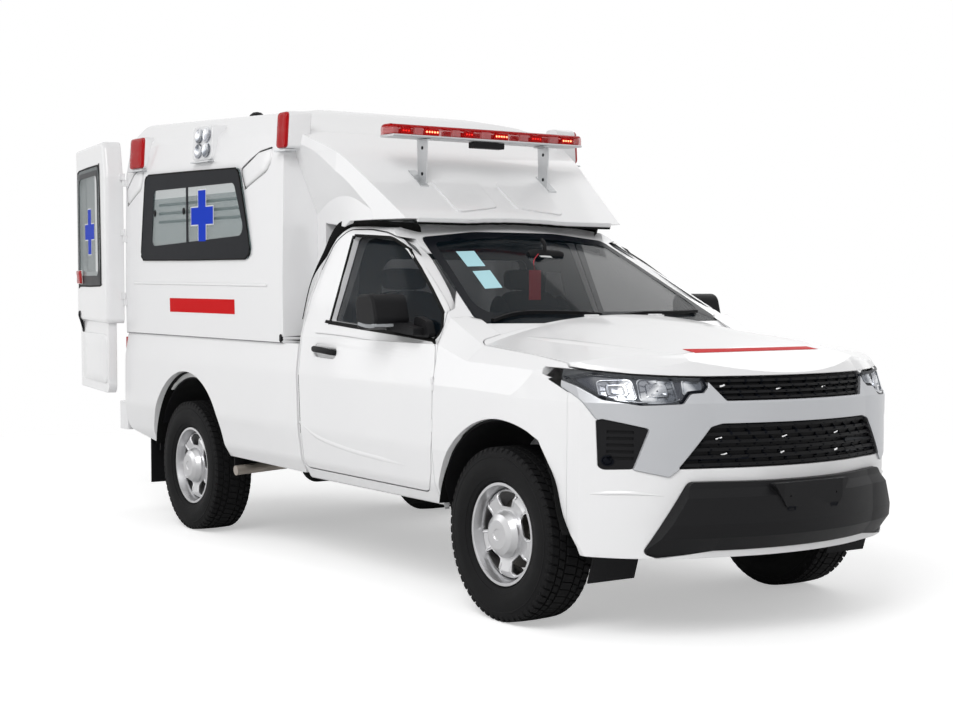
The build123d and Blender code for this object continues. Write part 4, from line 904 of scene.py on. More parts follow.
def make_arches():
    """Black linings inside the edges of the wheel openings."""
    steps = 40
    # distance from the middle plane, depth in from the opening's edge
    section = [(0.896, 0.0), (0.902, 0.0), (0.902, 0.003), (0.896, 0.004), (0.70, 0.004), (0.70, 0.0)]
    arches = [
        # name, x and z of the middle, radius, first and last angle, line that cuts it short
        ("front", 0.040, axle_z, 0.492, 8, 170, front_arch_line), ("rear", -3.060, 0.430, 0.490, 4, 176, []),
    ]
    for name, x, z, radius, first, last, line in arches:
        def lining(sign):
            rows = []
            for step in range(steps + 1):
                angle = math.radians(first + (last - first) * step / steps)
                toward = Vector((math.cos(angle), math.sin(angle)))
                found = [crossing(Vector((x, z)), toward, a, b) for a, b in zip(line, line[1:])]
                reach = min([radius] + [far - 0.002 for far in found if far])
                rows.append([at(x + toward.x * (reach - d), sign * y, z + toward.y * (reach - d))
                             for y, d in section])
            return tube(rows)
        both_sides(f"arch_lining_{name}", lining, "rubber_seal", sharp=60)


# ---------------------------------------------------------------- fairing and light bar
led_groups = [
    # place along the bar from its right end, dots, look
    (0.075, 3, "red_led_dim"), (0.205, 5, "red_led"), (0.395, 3, "red_led_dim"), (0.565, 5, "red_led"),
    (0.755, 4, "red_led_dim"), (0.925, 4, "red_led"),
]
clear_modules = [(0.115, 0.155), (0.305, 0.345), (0.455, 0.505), (0.665, 0.705), (0.825, 0.87)]
bar_x, bar_half, bar_top = -1.400, 0.595, 2.224


def bar_y(share):
    return -bar_half + 2 * bar_half * share


def bar_rows(section, ends):
    """Section of (x, z) carried along the bar; ends narrow it."""
    rows = []
    for y, share in ends:
        rows.append([at(bar_x + x * share, y, bar_top - 0.026 + (z + 0.026) * (0.6 + 0.4 * share))
                     for x, z in section])
    return tube(rows)


def make_light_bar():
    """Warning light bar: red lens over lit modules, base rail, control box, and black discs of painted shade for
    the bracket holes.
    """
    def low(drop):
        return bar_top - drop

    lens = [(-0.061, -0.052), (-0.062, -0.026), (-0.058, -0.012), (-0.048, -0.003), (-0.030, 0.0), (0.030, 0.0),
            (0.048, -0.003), (0.058, -0.012), (0.062, -0.026), (0.061, -0.052)]
    ends = [(-bar_half, 0.80), (-0.592, 0.92), (-0.582, 1.0), (0.582, 1.0), (0.592, 0.92), (bar_half, 0.80)]
    cover = piece("bar_lens", *bar_rows(lens, ends), "bar_red", sharp=50)
    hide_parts("light_bar")
    cap = [(x * 0.97, z + 0.0005) for x, z in lens if z > -0.013] + [(0.052, -0.013), (-0.052, -0.013)]
    piece("bar_top", *bar_rows(cap, [(-0.586, 1.0), (0.586, 1.0)]), "bar_dark")
    base = [(-0.064, -0.063), (-0.066, -0.058), (-0.064, -0.052), (0.064, -0.052), (0.066, -0.058),
            (0.064, -0.063)]
    piece("bar_base", *bar_rows(base, [(-0.591, 0.97), (-0.585, 1.0), (0.585, 1.0), (0.591, 0.97)]),
          "bracket_grey", sharp=30)
    piece("bar_box", *box(at(bar_x + 0.008, -0.105, low(0.098)), at(bar_x + 0.062, 0.085, low(0.0665))),
          "black_plastic", round_off=0.003)
    modules = []
    for start, end in clear_modules:
        for side in (-1, 1):
            x0, x1 = sorted((bar_x + side * 0.030, bar_x + side * 0.0555))
            modules.append(box(at(x0, bar_y(start), low(0.050)), at(x1, bar_y(end), low(0.015))))
    piece("bar_modules", *joined(modules), "module_clear", round_off=0.004)
    caps = []
    for end in (-1, 1):
        y0, y1 = sorted((end * 0.550, end * 0.586))
        caps.append(box(at(bar_x - 0.052, y0, low(0.050)), at(bar_x + 0.052, y1, low(0.014))))
    piece("bar_ends", *joined(caps), "module_clear", round_off=0.010)
    plates, dots = [], {"red_led": [], "red_led_dim": []}
    for share, count, look in led_groups:
        middle = bar_y(share)
        half = 0.014 * count / 2 + 0.008
        for side in (-1, 1):
            x0, x1 = sorted((bar_x + side * 0.034, bar_x + side * 0.046))
            plates.append(box(at(x0, middle - half, low(0.049)), at(x1, middle + half, low(0.016))))
            face = bar_x + side * 0.0465
            for dot in range(count):
                y = middle + (dot - (count - 1) / 2) * 0.016
                loops = [[at(x, p.x, p.y) for p in oval(y, low(0.032), radius, radius, 10)]
                         for x, radius in ((face, 0.0052), (face + side * 0.004, 0.003))]
                dots[look].append(tube(loops))
    piece("bar_plates", *joined(plates), "bar_reflector", round_off=0.002)
    piece("bar_leds", *joined(dots["red_led"]), "red_led")
    piece("bar_leds_dim", *joined(dots["red_led_dim"]), "red_led_dim")
    # black discs on both faces of each bracket stand for its holes: painted shade, no opening is cut
    holes = []
    for side in (-1, 1):
        for z in (1.985, 2.115):
            for face in (-1, 1):
                y = side * 0.381 + face * 0.0031
                spot = [at(p.x, y, p.y) for p in oval(bar_x + 0.004, z, 0.009, 0.009, 14)]
                tip = [p + Vector((0, face * 0.0012, 0)) for p in spot]
                holes.append(tube([spot, tip]))
    piece("bracket_hole_shade", *joined(holes), "gloss_black")


def make_fairing_trim():
    """Pressed panels of the fairing over the cab."""
    skin = Skin("cab_fairing")
    shapes = []
    for sign in (-1, 1):
        corners = ((-1.395, 0.055), (-1.195, 0.060), (-1.150, 0.33), (-1.395, 0.345))
        outline = rounded([(x, sign * y, 0.03) for x, y in corners])
        shapes.append(laid(skin, top_view, outline, (), 0.03, lift=-0.001, thick=0.009))
    piece("fairing_panels", *joined(shapes), "white_paint", sharp=50)


# ---------------------------------------------------------------- nose
# front view, millimetres
screen_line_rows = [(726, 1256, 25), (565, 1658, 45), (250, 1690, 900), (-250, 1690, 900), (-565, 1658, 45),
                    (-726, 1256, 25)]
lamp_line_rows = [
    (452, 1063, 6), (440, 1030, 8), (466, 1006, 8), (520, 1003, 20), (556, 964, 20), (700, 957, 50), (802, 978, 20),
    (880, 1064, 6), (806, 1085, 0), (700, 1072, 0), (580, 1065, 0),
]
# headlamp bowls: middle y, middle z, half width, half height
bowls = [(-756, 1019, 52, 40), (-633, 1020, 64, 45)]
grille_tips = [
    # y, z of the light ends of the cells' bars
    (-388, 1029), (-124, 1012), (138, 1012), (-409, 822), (-107, 822), (205, 822), (-387, 758), (-120, 757),
    (190, 752),
]
# rows of the grilles' cells in metres: low z, high z, half width, pitch, stagger
cell_rows = [
    (0.978, 1.015, 0.40, 0.074, 0.0), (1.018, 1.056, 0.42, 0.074, 0.5), (0.712, 0.744, 0.55, 0.078, 0.0),
    (0.752, 0.788, 0.52, 0.078, 0.5), (0.796, 0.832, 0.49, 0.078, 0.0), (0.840, 0.872, 0.44, 0.078, 0.5),
]


def make_headlamps():
    """Headlamps: dark housing, two faceted bowls and an inner strip behind the clear cover."""
    skin = Skin("headlamps")
    outline = [Vector((-p.x, p.y)) for p in drawn(lamp_line_rows)][::-1]
    housing, outer, inner = (grown(outline, -inset) for inset in (0.004, 0.001, 0.011))
    pair("headlamp_housing", laid(skin, front_view, housing, (), 0.03, lift=-0.016, thick=0.003), "lamp_navy")
    pair("headlamp_rim", laid(skin, front_view, outer, [inner], 0.03, lift=-0.004, thick=0.0046), "gloss_black")
    levels = [(1.04, -0.014), (1.02, -0.004), (0.97, -0.004), (0.90, -0.011), (0.62, -0.0125), (0.55, -0.006),
              (0.46, -0.006), (0.30, -0.0125), (0.05, -0.013)]
    section, count = [(-0.0035, -0.003), (0, 0.0035), (0.0035, -0.003)], 10
    reflectors, fins = [], []
    for y, z, wide, tall in bowls:
        bowl = drawn([(y - wide, z - tall, 12), (y + wide, z - tall, 16), (y + wide * 0.9, z + tall, 16),
                      (y - wide * 0.95, z + tall * 0.85, 14)], 3)
        reflectors.append(raised(skin, front_view, bowl, levels))
        for turn in range(count):
            angle = math.tau * (turn + 0.3) / count
            spots = [((y + wide * share * math.cos(angle)) / 1000, (z + tall * share * math.sin(angle)) / 1000)
                     for share in (0.40, 0.70, 0.93)]
            fins.append(band(skin, front_view, spots, section, 2, lift=-0.0105))
    pair("headlamp_bowls", joined(reflectors), "bowl_chrome", sharp=18)
    pair("headlamp_fins", joined(fins), "bowl_chrome", sharp=18)
    strip = drawn([(-548, 1000, 6), (-468, 1014, 6), (-460, 1050, 6), (-540, 1056, 8)])
    levels = [(1, -0.013), (1, -0.004), (0.9, -0.003), (0.75, -0.010), (0.4, -0.007), (0.05, -0.006)]
    pair("headlamp_strip", raised(skin, front_view, strip, levels), "bowl_chrome", sharp=18)
    spots = [(-0.79, 0.985), (-0.70, 0.970), (-0.60, 0.972), (-0.562, 0.984)]
    guide = band(skin, front_view, spots, strap(0.007, 0.004, -0.008), 4, lift=-0.006)
    pair("headlamp_guide", guide, "bowl_chrome")


def make_grille():
    """Stepped cells with light ends in the grilles, and the corner pods' sensors."""
    skin = Skin("grille")
    shapes = []
    for y, z in grille_tips:
        spots = [(y / 1000 + over, z / 1000 + up) for over, up in ((0, 0), (0.012, 0.002), (0.026, 0.006))]
        shapes.append(band(skin, front_view, spots, strap(0.008, 0.005, -0.004), 2))
    piece("grille_tips", *joined(shapes), "chrome")
    section = [(-0.010, -0.010), (-0.004, 0.004), (0.003, 0.004), (0.006, -0.010)]
    cells = []
    for z0, z1, span, step, phase in cell_rows:
        count = int(span / step)
        for i in range(-count, count + 1):
            y = (i + phase) * step
            if abs(y) <= span:
                slant = 0.008 if y > 0 else -0.008
                rail = [(y + slant * share, z0 + (z1 - z0) * share) for share in (0.0, 0.5, 1.0)]
                cells.append(band(skin, front_view, rail, section, 2))
    piece("grille_cells", *joined(cells), "gloss_black", sharp=25)

    def sensor(sign):
        return raised(skin, front_view, oval(sign * 0.787, 0.738, 0.015, 0.019, 20),
                      [(1.2, -0.004), (1.15, 0.004), (0.9, 0.005), (0.82, 0.001), (0.7, 0.004), (0.2, 0.007),
                       (0.05, 0.007)])

    both_sides("pod_sensor", sensor, "gloss_black")


def make_nose_trim():
    """The guard's slots as gloss black pads of painted shade, and the soft creases of the bumper and the bonnet."""
    guard, bumper, hood = Skin("bumper_guard"), Skin("front_bumper"), Skin("bonnet")
    # gloss black pads stand for the guard's slots: their darker black is painted shade, the openings are not cut
    levels = [(1.3, -0.001), (1.25, 0.0012), (0.9, 0.0012), (0.85, -0.0005), (0.05, -0.0005)]
    slots = [raised(guard, front_view, lamp_line(y - 0.016, y + 0.016, 0.533, 0.547, 0.002), levels)
             for y in (-0.121, 0.121)]
    piece("guard_slot_shade", *joined(slots), "gloss_black")

    def crease(sign):
        spots = [(sign * 0.83, 0.602), (sign * 0.79, 0.606), (sign * 0.72, 0.609), (sign * 0.62, 0.602)]
        section = [(-0.014, -0.002), (-0.002, 0.005), (0.002, 0.005), (0.006, -0.002)]
        return band(bumper, front_view, spots, section, 5, sink=0.005)

    def hood_crease(sign):
        spots = [(-0.20, sign * 0.66), (0.10, sign * 0.61), (0.40, sign * 0.53), (0.66, sign * 0.42)]
        section = [(-0.045, -0.003), (-0.012, 0.004), (0.0, 0.0052), (0.012, 0.004), (0.045, -0.003)]
        return band(hood, top_view, spots, section, 6, sink=0.007)

    both_sides("bumper_crease", crease, "white_paint", sharp=60)
    both_sides("bonnet_crease", hood_crease, "white_paint", "bonnet", sharp=80)


# ---------------------------------------------------------------- windscreen
def make_windscreen():
    """Ceramic border, labels, hanging tag, inner mirror and wipers."""
    skin = Skin("windscreen")
    outer = grown(drawn(screen_line_rows, 6), -0.003)
    inner = drawn([(672, 1302, 40), (525, 1632, 45), (230, 1656, 600), (-230, 1656, 600), (-525, 1632, 45),
                   (-672, 1302, 40)], 6)
    border = laid(skin, front_view, outer, [inner], 0.06, lift=0.0004, thick=0.0008)
    piece("screen_border", *border, "gloss_black")
    labels = [
        # name, look, corners from above
        ("upper", "pale_blue_label", (-0.967, -0.466), (-0.956, -0.367), (-0.817, -0.397), (-0.830, -0.491)),
        ("lower", "pale_blue_label", (-0.787, -0.492), (-0.779, -0.397), (-0.626, -0.433), (-0.636, -0.525)),
        ("small", "lining_white", (-0.894, -0.022), (-0.889, 0.045), (-0.871, 0.045), (-0.876, -0.022)),
    ]
    for name, look, *corners in labels:
        label = laid(skin, top_view, flat(*corners), (), 0.05, lift=0.0006, thick=0.0006)
        piece(f"label_{name}", *label, look)
    line = [at(-0.790, y, z) for y, z in ((-0.155, 1.50), (-0.085, 1.50), (-0.085, 1.355), (-0.155, 1.355))]
    back = [p + Vector((-0.004, 0, 0)) for p in line]
    piece("hanging_tag", *tube([line, back]), "red_tag", round_off=0.001)
    cord = [at(-0.795, -0.12, 1.50), at(-0.830, -0.10, 1.545), at(-0.86, -0.05, 1.58)]
    piece("tag_string", *sweep(curve(cord, 4), ring(0.0015, 6)), "red_tag")
    shell = [
        # inner mirror: y from its middle, x from its middle, low z, high z
        (-0.105, 0.0, 1.560, 1.590), (-0.09, -0.006, 1.543, 1.603), (0.0, -0.009, 1.538, 1.606),
        (0.09, -0.006, 1.543, 1.603), (0.105, 0.0, 1.560, 1.590),
    ]
    rows = []
    for y, x, low, high in shell:
        middle, half = (low + high) / 2, (high - low) / 2
        rows.append([at(-0.90 + x + 0.018 * math.cos(a), 0.02 + y, middle + half * math.sin(a))
                     for a in turns(14)])
    piece("inner_mirror", *tube(rows), "black_plastic")
    stem = [at(-0.90, 0.02, 1.59), at(-0.905, 0.02, 1.63), at(-0.93, 0.02, 1.652)]
    piece("inner_mirror_stem", *sweep(curve(stem, 4), ring(0.010)), "black_plastic")
    body = Skin("windscreen", "cab_shell")
    arms = [
        ("right", [(-0.385, -0.655), (-0.405, -0.50), (-0.372, -0.28), (-0.335, -0.08)]),
        ("left", [(-0.30, -0.02), (-0.345, 0.15), (-0.375, 0.38), (-0.430, 0.60)]),
    ]
    for name, spots in arms:
        arm = [(-0.007, 0.004), (-0.004, 0.016), (0.003, 0.018), (0.007, 0.004)]
        piece(f"wiper_arm_{name}", *band(body, top_view, spots, arm, 5), "black_plastic")
        blade = [(-0.004, 0.001), (-0.003, 0.010), (0.003, 0.010), (0.004, 0.001)]
        spots = [(x - 0.012, y) for x, y in spots]
        piece(f"wiper_blade_{name}", *band(body, top_view, spots, blade, 5), "rubber_seal")


def lip_points():
    """Lower edge of the fairing's front lip, found across the cab by rays from the front."""
    skin = Skin("cab_fairing").tree
    found = []
    for step in range(-24, 25):
        for k in range(80):
            point, *_ = skin.ray_cast(Vector((3, step * 0.025, 1.650 + k * 0.002)), Vector((-1, 0, 0)))
            if point is not None and point.x - shift > -1.45:
                found.append(point)
                break
    return found


# the cab seal down one side: x, y, z of its lower edge, then of its upper edge
seal_edges = [
    ((-1.730, 0.890, 1.250), (-1.734, 0.890, 1.250)), ((-1.722, 0.840, 1.45), (-1.732, 0.842, 1.455)),
    ((-1.675, 0.770, 1.600), (-1.694, 0.778, 1.612)), ((-1.625, 0.716, 1.684), (-1.652, 0.735, 1.722)),
    ((-1.567, 0.680, 1.718), (-1.582, 0.710, 1.752)), ((-1.46, 0.655, 1.718), (-1.463, 0.700, 1.752)),
    ((-1.37, 0.640, 1.714), (-1.365, 0.670, 1.744)), ((-1.25, 0.615, 1.704), (-1.25, 0.628, 1.732)),
    ((-1.200, 0.585, 1.698), (-1.198, 0.594, 1.728)), ((-1.160, 0.555, 1.697), (-1.158, 0.560, 1.722)),
]


def make_cab_seal():
    """Lip of the fairing, the rubber seal under it, and the seal over the cab's rear edge."""
    sections = [
        ("fairing_lip", "white_paint",
         [(0.000, 0.006), (0.002, -0.010), (-0.001, -0.016), (-0.010, -0.016), (-0.014, 0.004)]),
        ("fairing_lip_seal", "rubber_seal",
         [(-0.004, -0.012), (-0.003, -0.023), (-0.006, -0.026), (-0.030, -0.026), (-0.034, -0.012)]),
    ]
    lip = lip_points()
    for name, look, section in sections:
        rows = [[p + Vector((x, 0, z)) for x, z in section] for p in lip]
        piece(name, *tube(rows), look, sharp=60)

    def seal(sign):
        lows, highs = (curve([at(x, sign * y, z) for x, y, z in edge], 5) for edge in zip(*seal_edges))
        rows = []
        for a, b in zip(lows, highs):
            middle = (a + b) / 2
            # it thins out down the cab's rear edge
            full = min(1.0, max(0.2, (middle.z - 1.42) / 0.22))
            b = a + (b - a) * full
            out = Vector((0.0, middle.y, max(0.0, middle.z - 1.2))).normalized() * full
            rows.append([a - out * 0.02, a + out * 0.002, a + (b - a) * 0.3 + out * 0.005,
                         a + (b - a) * 0.7 + out * 0.005, b + out * 0.002, b - out * 0.02])
        return tube(rows)

    both_sides("cab_seal", seal, "rubber_seal", sharp=60)


# ---------------------------------------------------------------- front doors and mirrors
# side view, millimetres
door_window_rows = [
    (-1466, 1247, 12), (-500, 1188, 25), (-512, 1240, 60), (-560, 1300, 60), (-885, 1497, 500), (-1055, 1598, 300),
    (-1200, 1648, 250), (-1505, 1664, 20),
]


def make_door_trim():
    """Handles, belt strips, window rubbers, pressed lines and inner cards of the front doors, and a pale grey patch
    of painted shade in each handle's recess.
    """
    skins = {sign: Skin(f"front_door_{side}") for side, sign in sides}
    grip = [
        # x, z, lift, half height
        (-1.574, 1.104, -0.004, 0.011), (-1.566, 1.104, 0.014, 0.013), (-1.535, 1.103, 0.027, 0.015),
        (-1.45, 1.099, 0.032, 0.0155), (-1.372, 1.093, 0.027, 0.015), (-1.342, 1.091, 0.014, 0.013),
        (-1.334, 1.091, -0.004, 0.011),
    ]

    def handle(sign):
        rows = []
        for x, z, lift, tall in grip:
            point, normal = skins[sign].hit(*side_view(sign)(x, 1.15))
            middle = Vector((x + shift, point.y, z)) + normal * lift
            rows.append([middle + Vector((0, sign * 0.009 * math.cos(a), tall * math.sin(a)))
                         for a in turns(12)])
        return tube(rows)

    def card(sign):
        panel = drawn([(-1650, 560, 30), (-480, 560, 30), (-500, 1150, 40), (-1650, 1215, 30)])
        centre = Vector((-1.07, 0.87))
        rows = []
        for share, out in ((1.0, 0.790), (0.99, 0.778), (0.96, 0.772), (0.5, 0.770), (0.05, 0.770)):
            spots = [centre + (p - centre) * share for p in panel]
            rows.append([at(p.x, sign * out, p.y) for p in spots])
        return tube(rows)

    door = {"bodies": "front_door"}
    on_sides("door_window_rubber", band, skins, "rubber_seal", grown(drawn(door_window_rows, 4), 0.007),
             strap(0.016, 0.003), 2, True, **door)
    on_sides("door_belt_strip", band, skins, "rubber_seal",
             [(-1.480, 1.239), (-1.2, 1.221), (-0.85, 1.201), (-0.515, 1.180)], strap(0.017, 0.005), 3, **door)
    both_sides("door_handle", handle, "black_plastic", **door)
    on_sides("door_crease", band, skins, "white_paint",
             [(-1.680, 0.735), (-1.50, 0.668), (-1.20, 0.630), (-0.90, 0.613), (-0.64, 0.603)],
             [(-0.020, -0.002), (-0.004, 0.003), (0.003, 0.003), (0.012, -0.002)], 5, sink=0.004, sharp=80,
             **door)
    on_sides("door_shoulder", band, skins, "white_paint",
             [(-1.70, 1.150), (-1.3, 1.140), (-0.9, 1.118), (-0.50, 1.090)],
             [(-0.040, -0.003), (-0.008, 0.0016), (0.006, 0.0016), (0.035, -0.003)], 5, sink=0.003, sharp=80,
             **door)
    # pale grey patch laid flat on the door round the handle: painted shade of the handle's recess
    well = drawn([(-1548, 1072, 26), (-1352, 1066, 26), (-1352, 1124, 26), (-1548, 1132, 26)])
    for side, sign in sides:
        door = f"front_door_{side}"
        bowl = laid(skins[sign], side_view(sign), well, (), 0.03, lift=0.0003, thick=0.0005)
        piece(f"door_handle_bowl_{side}", *bowl, "shade_white", door)
        piece(f"door_card_{side}", *card(sign), "interior_grey", door)


def make_mirrors():
    """Glass and turn signal of each door mirror."""
    def glass(sign):
        centre = at(-0.845, sign * 0.968, 1.300)
        line = rounded([(-0.075, -0.066, 0.028), (0.072, -0.070, 0.028), (0.066, 0.066, 0.034),
                        (-0.066, 0.062, 0.034)])
        levels = [(1.0, -0.010), (1.0, 0.003), (0.92, 0.005), (0.5, 0.005), (0.05, 0.005)]
        return tube([[centre + Vector((-0.066 - lift, p.x * share, p.y * share)) for p in line]
                     for share, lift in levels])

    both_sides("mirror_glass", glass, "mirror_face", "front_door")
    on_sides("mirror_signal", band, {sign: Skin(f"mirror_{side}") for side, sign in sides}, "clear_lens",
             [(-0.885, 1.248), (-0.83, 1.240), (-0.775, 1.238), (-0.742, 1.245)],
             [(-0.009, -0.002), (-0.007, 0.004), (0.007, 0.004), (0.009, -0.002)], 5, bodies="front_door")


# ---------------------------------------------------------------- rear doors and bumper
hinge_at = (-3.940, -0.932)
open_turn = 80             # degrees the right leaf stands open at rest
# from behind, millimetres
rear_frame_rows = [(-800, 1408, 60), (-92, 1408, 60), (-92, 2160, 75), (-775, 2160, 75)]
rear_clear_rows = [(-738, 1474, 45), (-152, 1474, 45), (-152, 2100, 55), (-716, 2100, 55)]


def make_rear_doors():
    """Window borders, crosses, handles, red lamps and linings of the rear leaves."""
    skin = Skin("rear_door_left", "rear_glass_left")
    hinge = Matrix.Translation(at(*hinge_at, 0))
    turn = hinge @ Matrix.Rotation(math.radians(open_turn), 4, "Z") @ Matrix.Translation(-at(*hinge_at, 0))

    def leaf(name, shape, look, **more):
        """The left leaf's piece, and its mirror image on the open right leaf."""
        piece(f"{name}_left", *shape, look, "rear_door_left", **more)
        piece(f"{name}_right", *moved(mirrored(shape), turn), look, "rear_door_right", **more)

    frame_line, clear_line = drawn(rear_frame_rows), drawn(rear_clear_rows)
    leaf("rear_window_border", laid(skin, back_view, frame_line, [clear_line], 0.07, lift=0.0004, thick=0.002),
         "gloss_black")
    leaf("rear_window_bead", band(skin, back_view, frame_line[::2], strap(0.010, 0.005), 2, True), "rubber_seal")
    for name, grow, lift, look in (("rear_cross_edge", cross_edge, 0.0006, "lining_white"),
                                   ("rear_cross", 0.0, 0.0014, "blue_film")):
        outline = cross_outline(-0.486, 1.753, grow)
        leaf(name, laid(skin, back_view, outline, (), 0.06, lift=lift, thick=0.0008), look)
    lamp = (-0.225, -0.105, 1.424, 1.508, 0.012)
    pads = [
        # name, look, limit of sharp edges, view, oblong, levels
        ("leaf_lamp", "red_cover", 35, back_view, lamp, [(share, lift * 0.8) for share, lift in dome]),
        ("leaf_lamp_base", "lining_white", 35, back_view, lamp,
         [(1.08, 0.0), (1.08, 0.006), (0.9, 0.007), (0.05, 0.007)]),
        ("handle_plate", "black_plastic", 35, back_view, (-0.125, -0.075, 1.105, 1.245, 0.018),
         [(1, -0.002), (1, 0.004), (0.93, 0.007), (0.8, 0.007), (0.74, 0.002), (0.05, 0.002)]),
        ("handle", "gloss_black", 35, back_view, (-0.110, -0.090, 1.118, 1.232, 0.008),
         [(1, 0.0), (1, 0.007), (0.85, 0.010), (0.05, 0.010)]),
        ("low_panel", "white_paint", 60, back_view, (-0.84, -0.10, 0.80, 1.11, 0.05),
         [(1, -0.002), (0.985, 0.006), (0.97, 0.008), (0.5, 0.008), (0.05, 0.008)]),
        ("lining", "lining_white", 60, room_view, (-0.83, -0.085, 0.86, 1.40, 0.05),
         [(1, -0.001), (0.99, 0.006), (0.96, 0.009), (0.5, 0.009), (0.05, 0.009)]),
    ]
    for name, look, sharp, view, oblong, levels in pads:
        leaf(f"rear_{name}", raised(skin, view, lamp_line(*oblong), levels), look, sharp=sharp)


def make_rear_end():
    """Step pad and tread ribs of the rear bumper."""
    skin = Skin("rear_bumper")
    ribs = []
    for i in range(9):
        x = -4.165 + i * 0.020
        half = 0.86 if x > -4.12 else 0.70
        ribs.append(band(skin, top_view, [(x, -half), (x, 0.0), (x, half)], strap(0.010, 0.005), 5))
    piece("step_ribs", *joined(ribs), "black_plastic")
    pad = lamp_line(-0.80, 0.80, 0.535, 0.675, 0.03)
    piece("step_pad", *laid(skin, back_view, pad, (), 0.06, lift=-0.0005, thick=0.008), "black_plastic")


# ---------------------------------------------------------------- interior
pad_steps = (0.0, 0.02, 0.05, 0.10, 0.2, 0.35, 0.5, 0.65, 0.8, 0.9, 0.95, 0.98, 1.0)


def pad_shape(outline, y0, y1, soft):
    """Padded form: a side outline carried across, drawn in at its ends and crowned in the middle."""
    centre = sum(outline, Vector((0, 0))) / len(outline)
    rows = []
    for t in pad_steps:
        edge = min(t, 1 - t) * (y1 - y0)
        draw = 1 - 0.16 * max(0.0, 1 - edge / soft) ** 2
        crown = 1 + 0.05 * math.sin(math.pi * t)
        rows.append([at(centre.x + (p.x - centre.x) * draw * (1 + (crown - 1) * 0.3), y0 + (y1 - y0) * t,
                        centre.y + (p.y - centre.y) * draw * crown) for p in outline])
    return tube(rows)


def cushioned(name, shape, look):
    """Smooth padded piece."""
    piece(name, *shape, look, sharp=70, smooth=1)


def make_seats():
    """Cab seats: padded cushion with bolsters, padded back, head restraint on two posts."""
    cushion = drawn([(-1430, 775, 45), (-905, 795, 55), (-900, 895, 50), (-1400, 872, 45)], 4)
    bolster = drawn([(-1420, 790, 50), (-915, 805, 60), (-905, 918, 55), (-1400, 896, 50)], 4)
    back = drawn([(-1440, 842, 40), (-1338, 855, 40), (-1500, 1395, 50), (-1588, 1375, 40)], 4)
    wing = drawn([(-1440, 850, 40), (-1310, 862, 50), (-1475, 1350, 60), (-1580, 1370, 40)], 4)
    rest = drawn([(-1592, 1400, 28), (-1522, 1402, 28), (-1545, 1512, 35), (-1606, 1504, 30)], 4)
    for side, sign in sides:
        low, high = sorted((sign * 0.130, sign * 0.640))
        middle = (low + high) / 2
        parts = [
            ("cushion", cushion, low + 0.07, high - 0.07, 0.05), ("bolster_a", bolster, low, low + 0.085, 0.04),
            ("bolster_b", bolster, high - 0.085, high, 0.04), ("back", back, low + 0.075, high - 0.075, 0.05),
            ("wing_a", wing, low + 0.012, low + 0.09, 0.04), ("wing_b", wing, high - 0.09, high - 0.012, 0.04),
            ("rest", rest, middle - 0.12, middle + 0.12, 0.04),
        ]
        for name, outline, y0, y1, soft in parts:
            cushioned(f"seat_{name}_{side}", pad_shape(outline, y0, y1, soft), "seat_cloth")
        posts = [sweep([at(-1.548, y, 1.36), at(-1.560, y, 1.43)], ring(0.006))
                 for y in (middle - 0.06, middle + 0.06)]
        piece(f"seat_posts_{side}", *joined(posts), "chrome")
        piece(f"seat_plinth_{side}", *box(at(-1.38, low + 0.05, 0.652), at(-0.96, high - 0.05, 0.80)),
              "interior_grey", round_off=0.015)
    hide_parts("cab_seats")


def make_steering_wheel():
    """Smooth rim, three spokes and a padded hub."""
    place = Matrix.Translation(at(-0.800, 0.375, 1.115)) @ Matrix.Rotation(math.radians(28 - 90), 4, "Y")
    radius = 0.178
    rows = []
    for a in turns(64):
        grip = 0.0150 + 0.0015 * max(0.0, math.cos(4 * a))
        row = []
        for b in turns(14):
            out = radius + grip * math.cos(b)
            row.append(place @ Vector((out * math.cos(a), out * math.sin(a), grip * math.sin(b))))
        rows.append(row)
    rim = piece("steering_rim", *grid(rows, closed_u=True, closed_v=True), "black_plastic", "steering_wheel")
    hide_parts("steering_wheel")
    hub = rounded([(-0.058, -0.040, 0.02), (0.058, -0.040, 0.02), (0.066, 0.040, 0.028),
                   (-0.066, 0.040, 0.028)], 4)
    levels = [(0.8, -0.016), (1.0, -0.010), (1.05, 0.004), (0.96, 0.014), (0.6, 0.0185), (0.05, 0.019)]
    shapes = [tube([[place @ Vector((p.x * share, p.y * share, lift)) for p in hub] for share, lift in levels])]
    section = ((-1, -0.4), (-0.8, 0.8), (0.8, 0.8), (1, -0.4), (0.6, -1), (-0.6, -1))
    # along the spoke: share of its length, half width, thickness
    taper = ((0.0, 0.026, 0.010), (0.4, 0.018, 0.009), (0.8, 0.016, 0.008), (1.0, 0.018, 0.008))
    for start, along in ((0.05, (-1, 0, 0)), (0.05, (1, 0, 0)), (0.03, (0, -1, 0))):
        along = Vector(along)
        start, end = along * start, along * radius
        side = Vector((-along.y, along.x, 0))
        rows = []
        for share, half, thick in taper:
            middle = start + (end - start) * share
            rows.append([place @ (middle + side * half * a + Vector((0, 0, thick * b)))
                         for a, b in section])
        shapes.append(tube(rows))
    piece("steering_hub", *joined(shapes), "interior_grey", "steering_wheel")


def lining_faces(node, accept, off=0.0012):
    """The solid's faces that pass the test, a little off it."""
    source = frame["nodes"][node]
    verts, faces = [], []
    for face in source.data.polygons:
        centre, normal = source.matrix_world @ face.center, face.normal
        if accept(centre - Vector((shift, 0, 0)), normal):
            base = len(verts)
            verts += [source.matrix_world @ source.data.vertices[i].co + normal * off for i in face.vertices]
            faces.append(list(range(base, len(verts))))
    return verts, faces


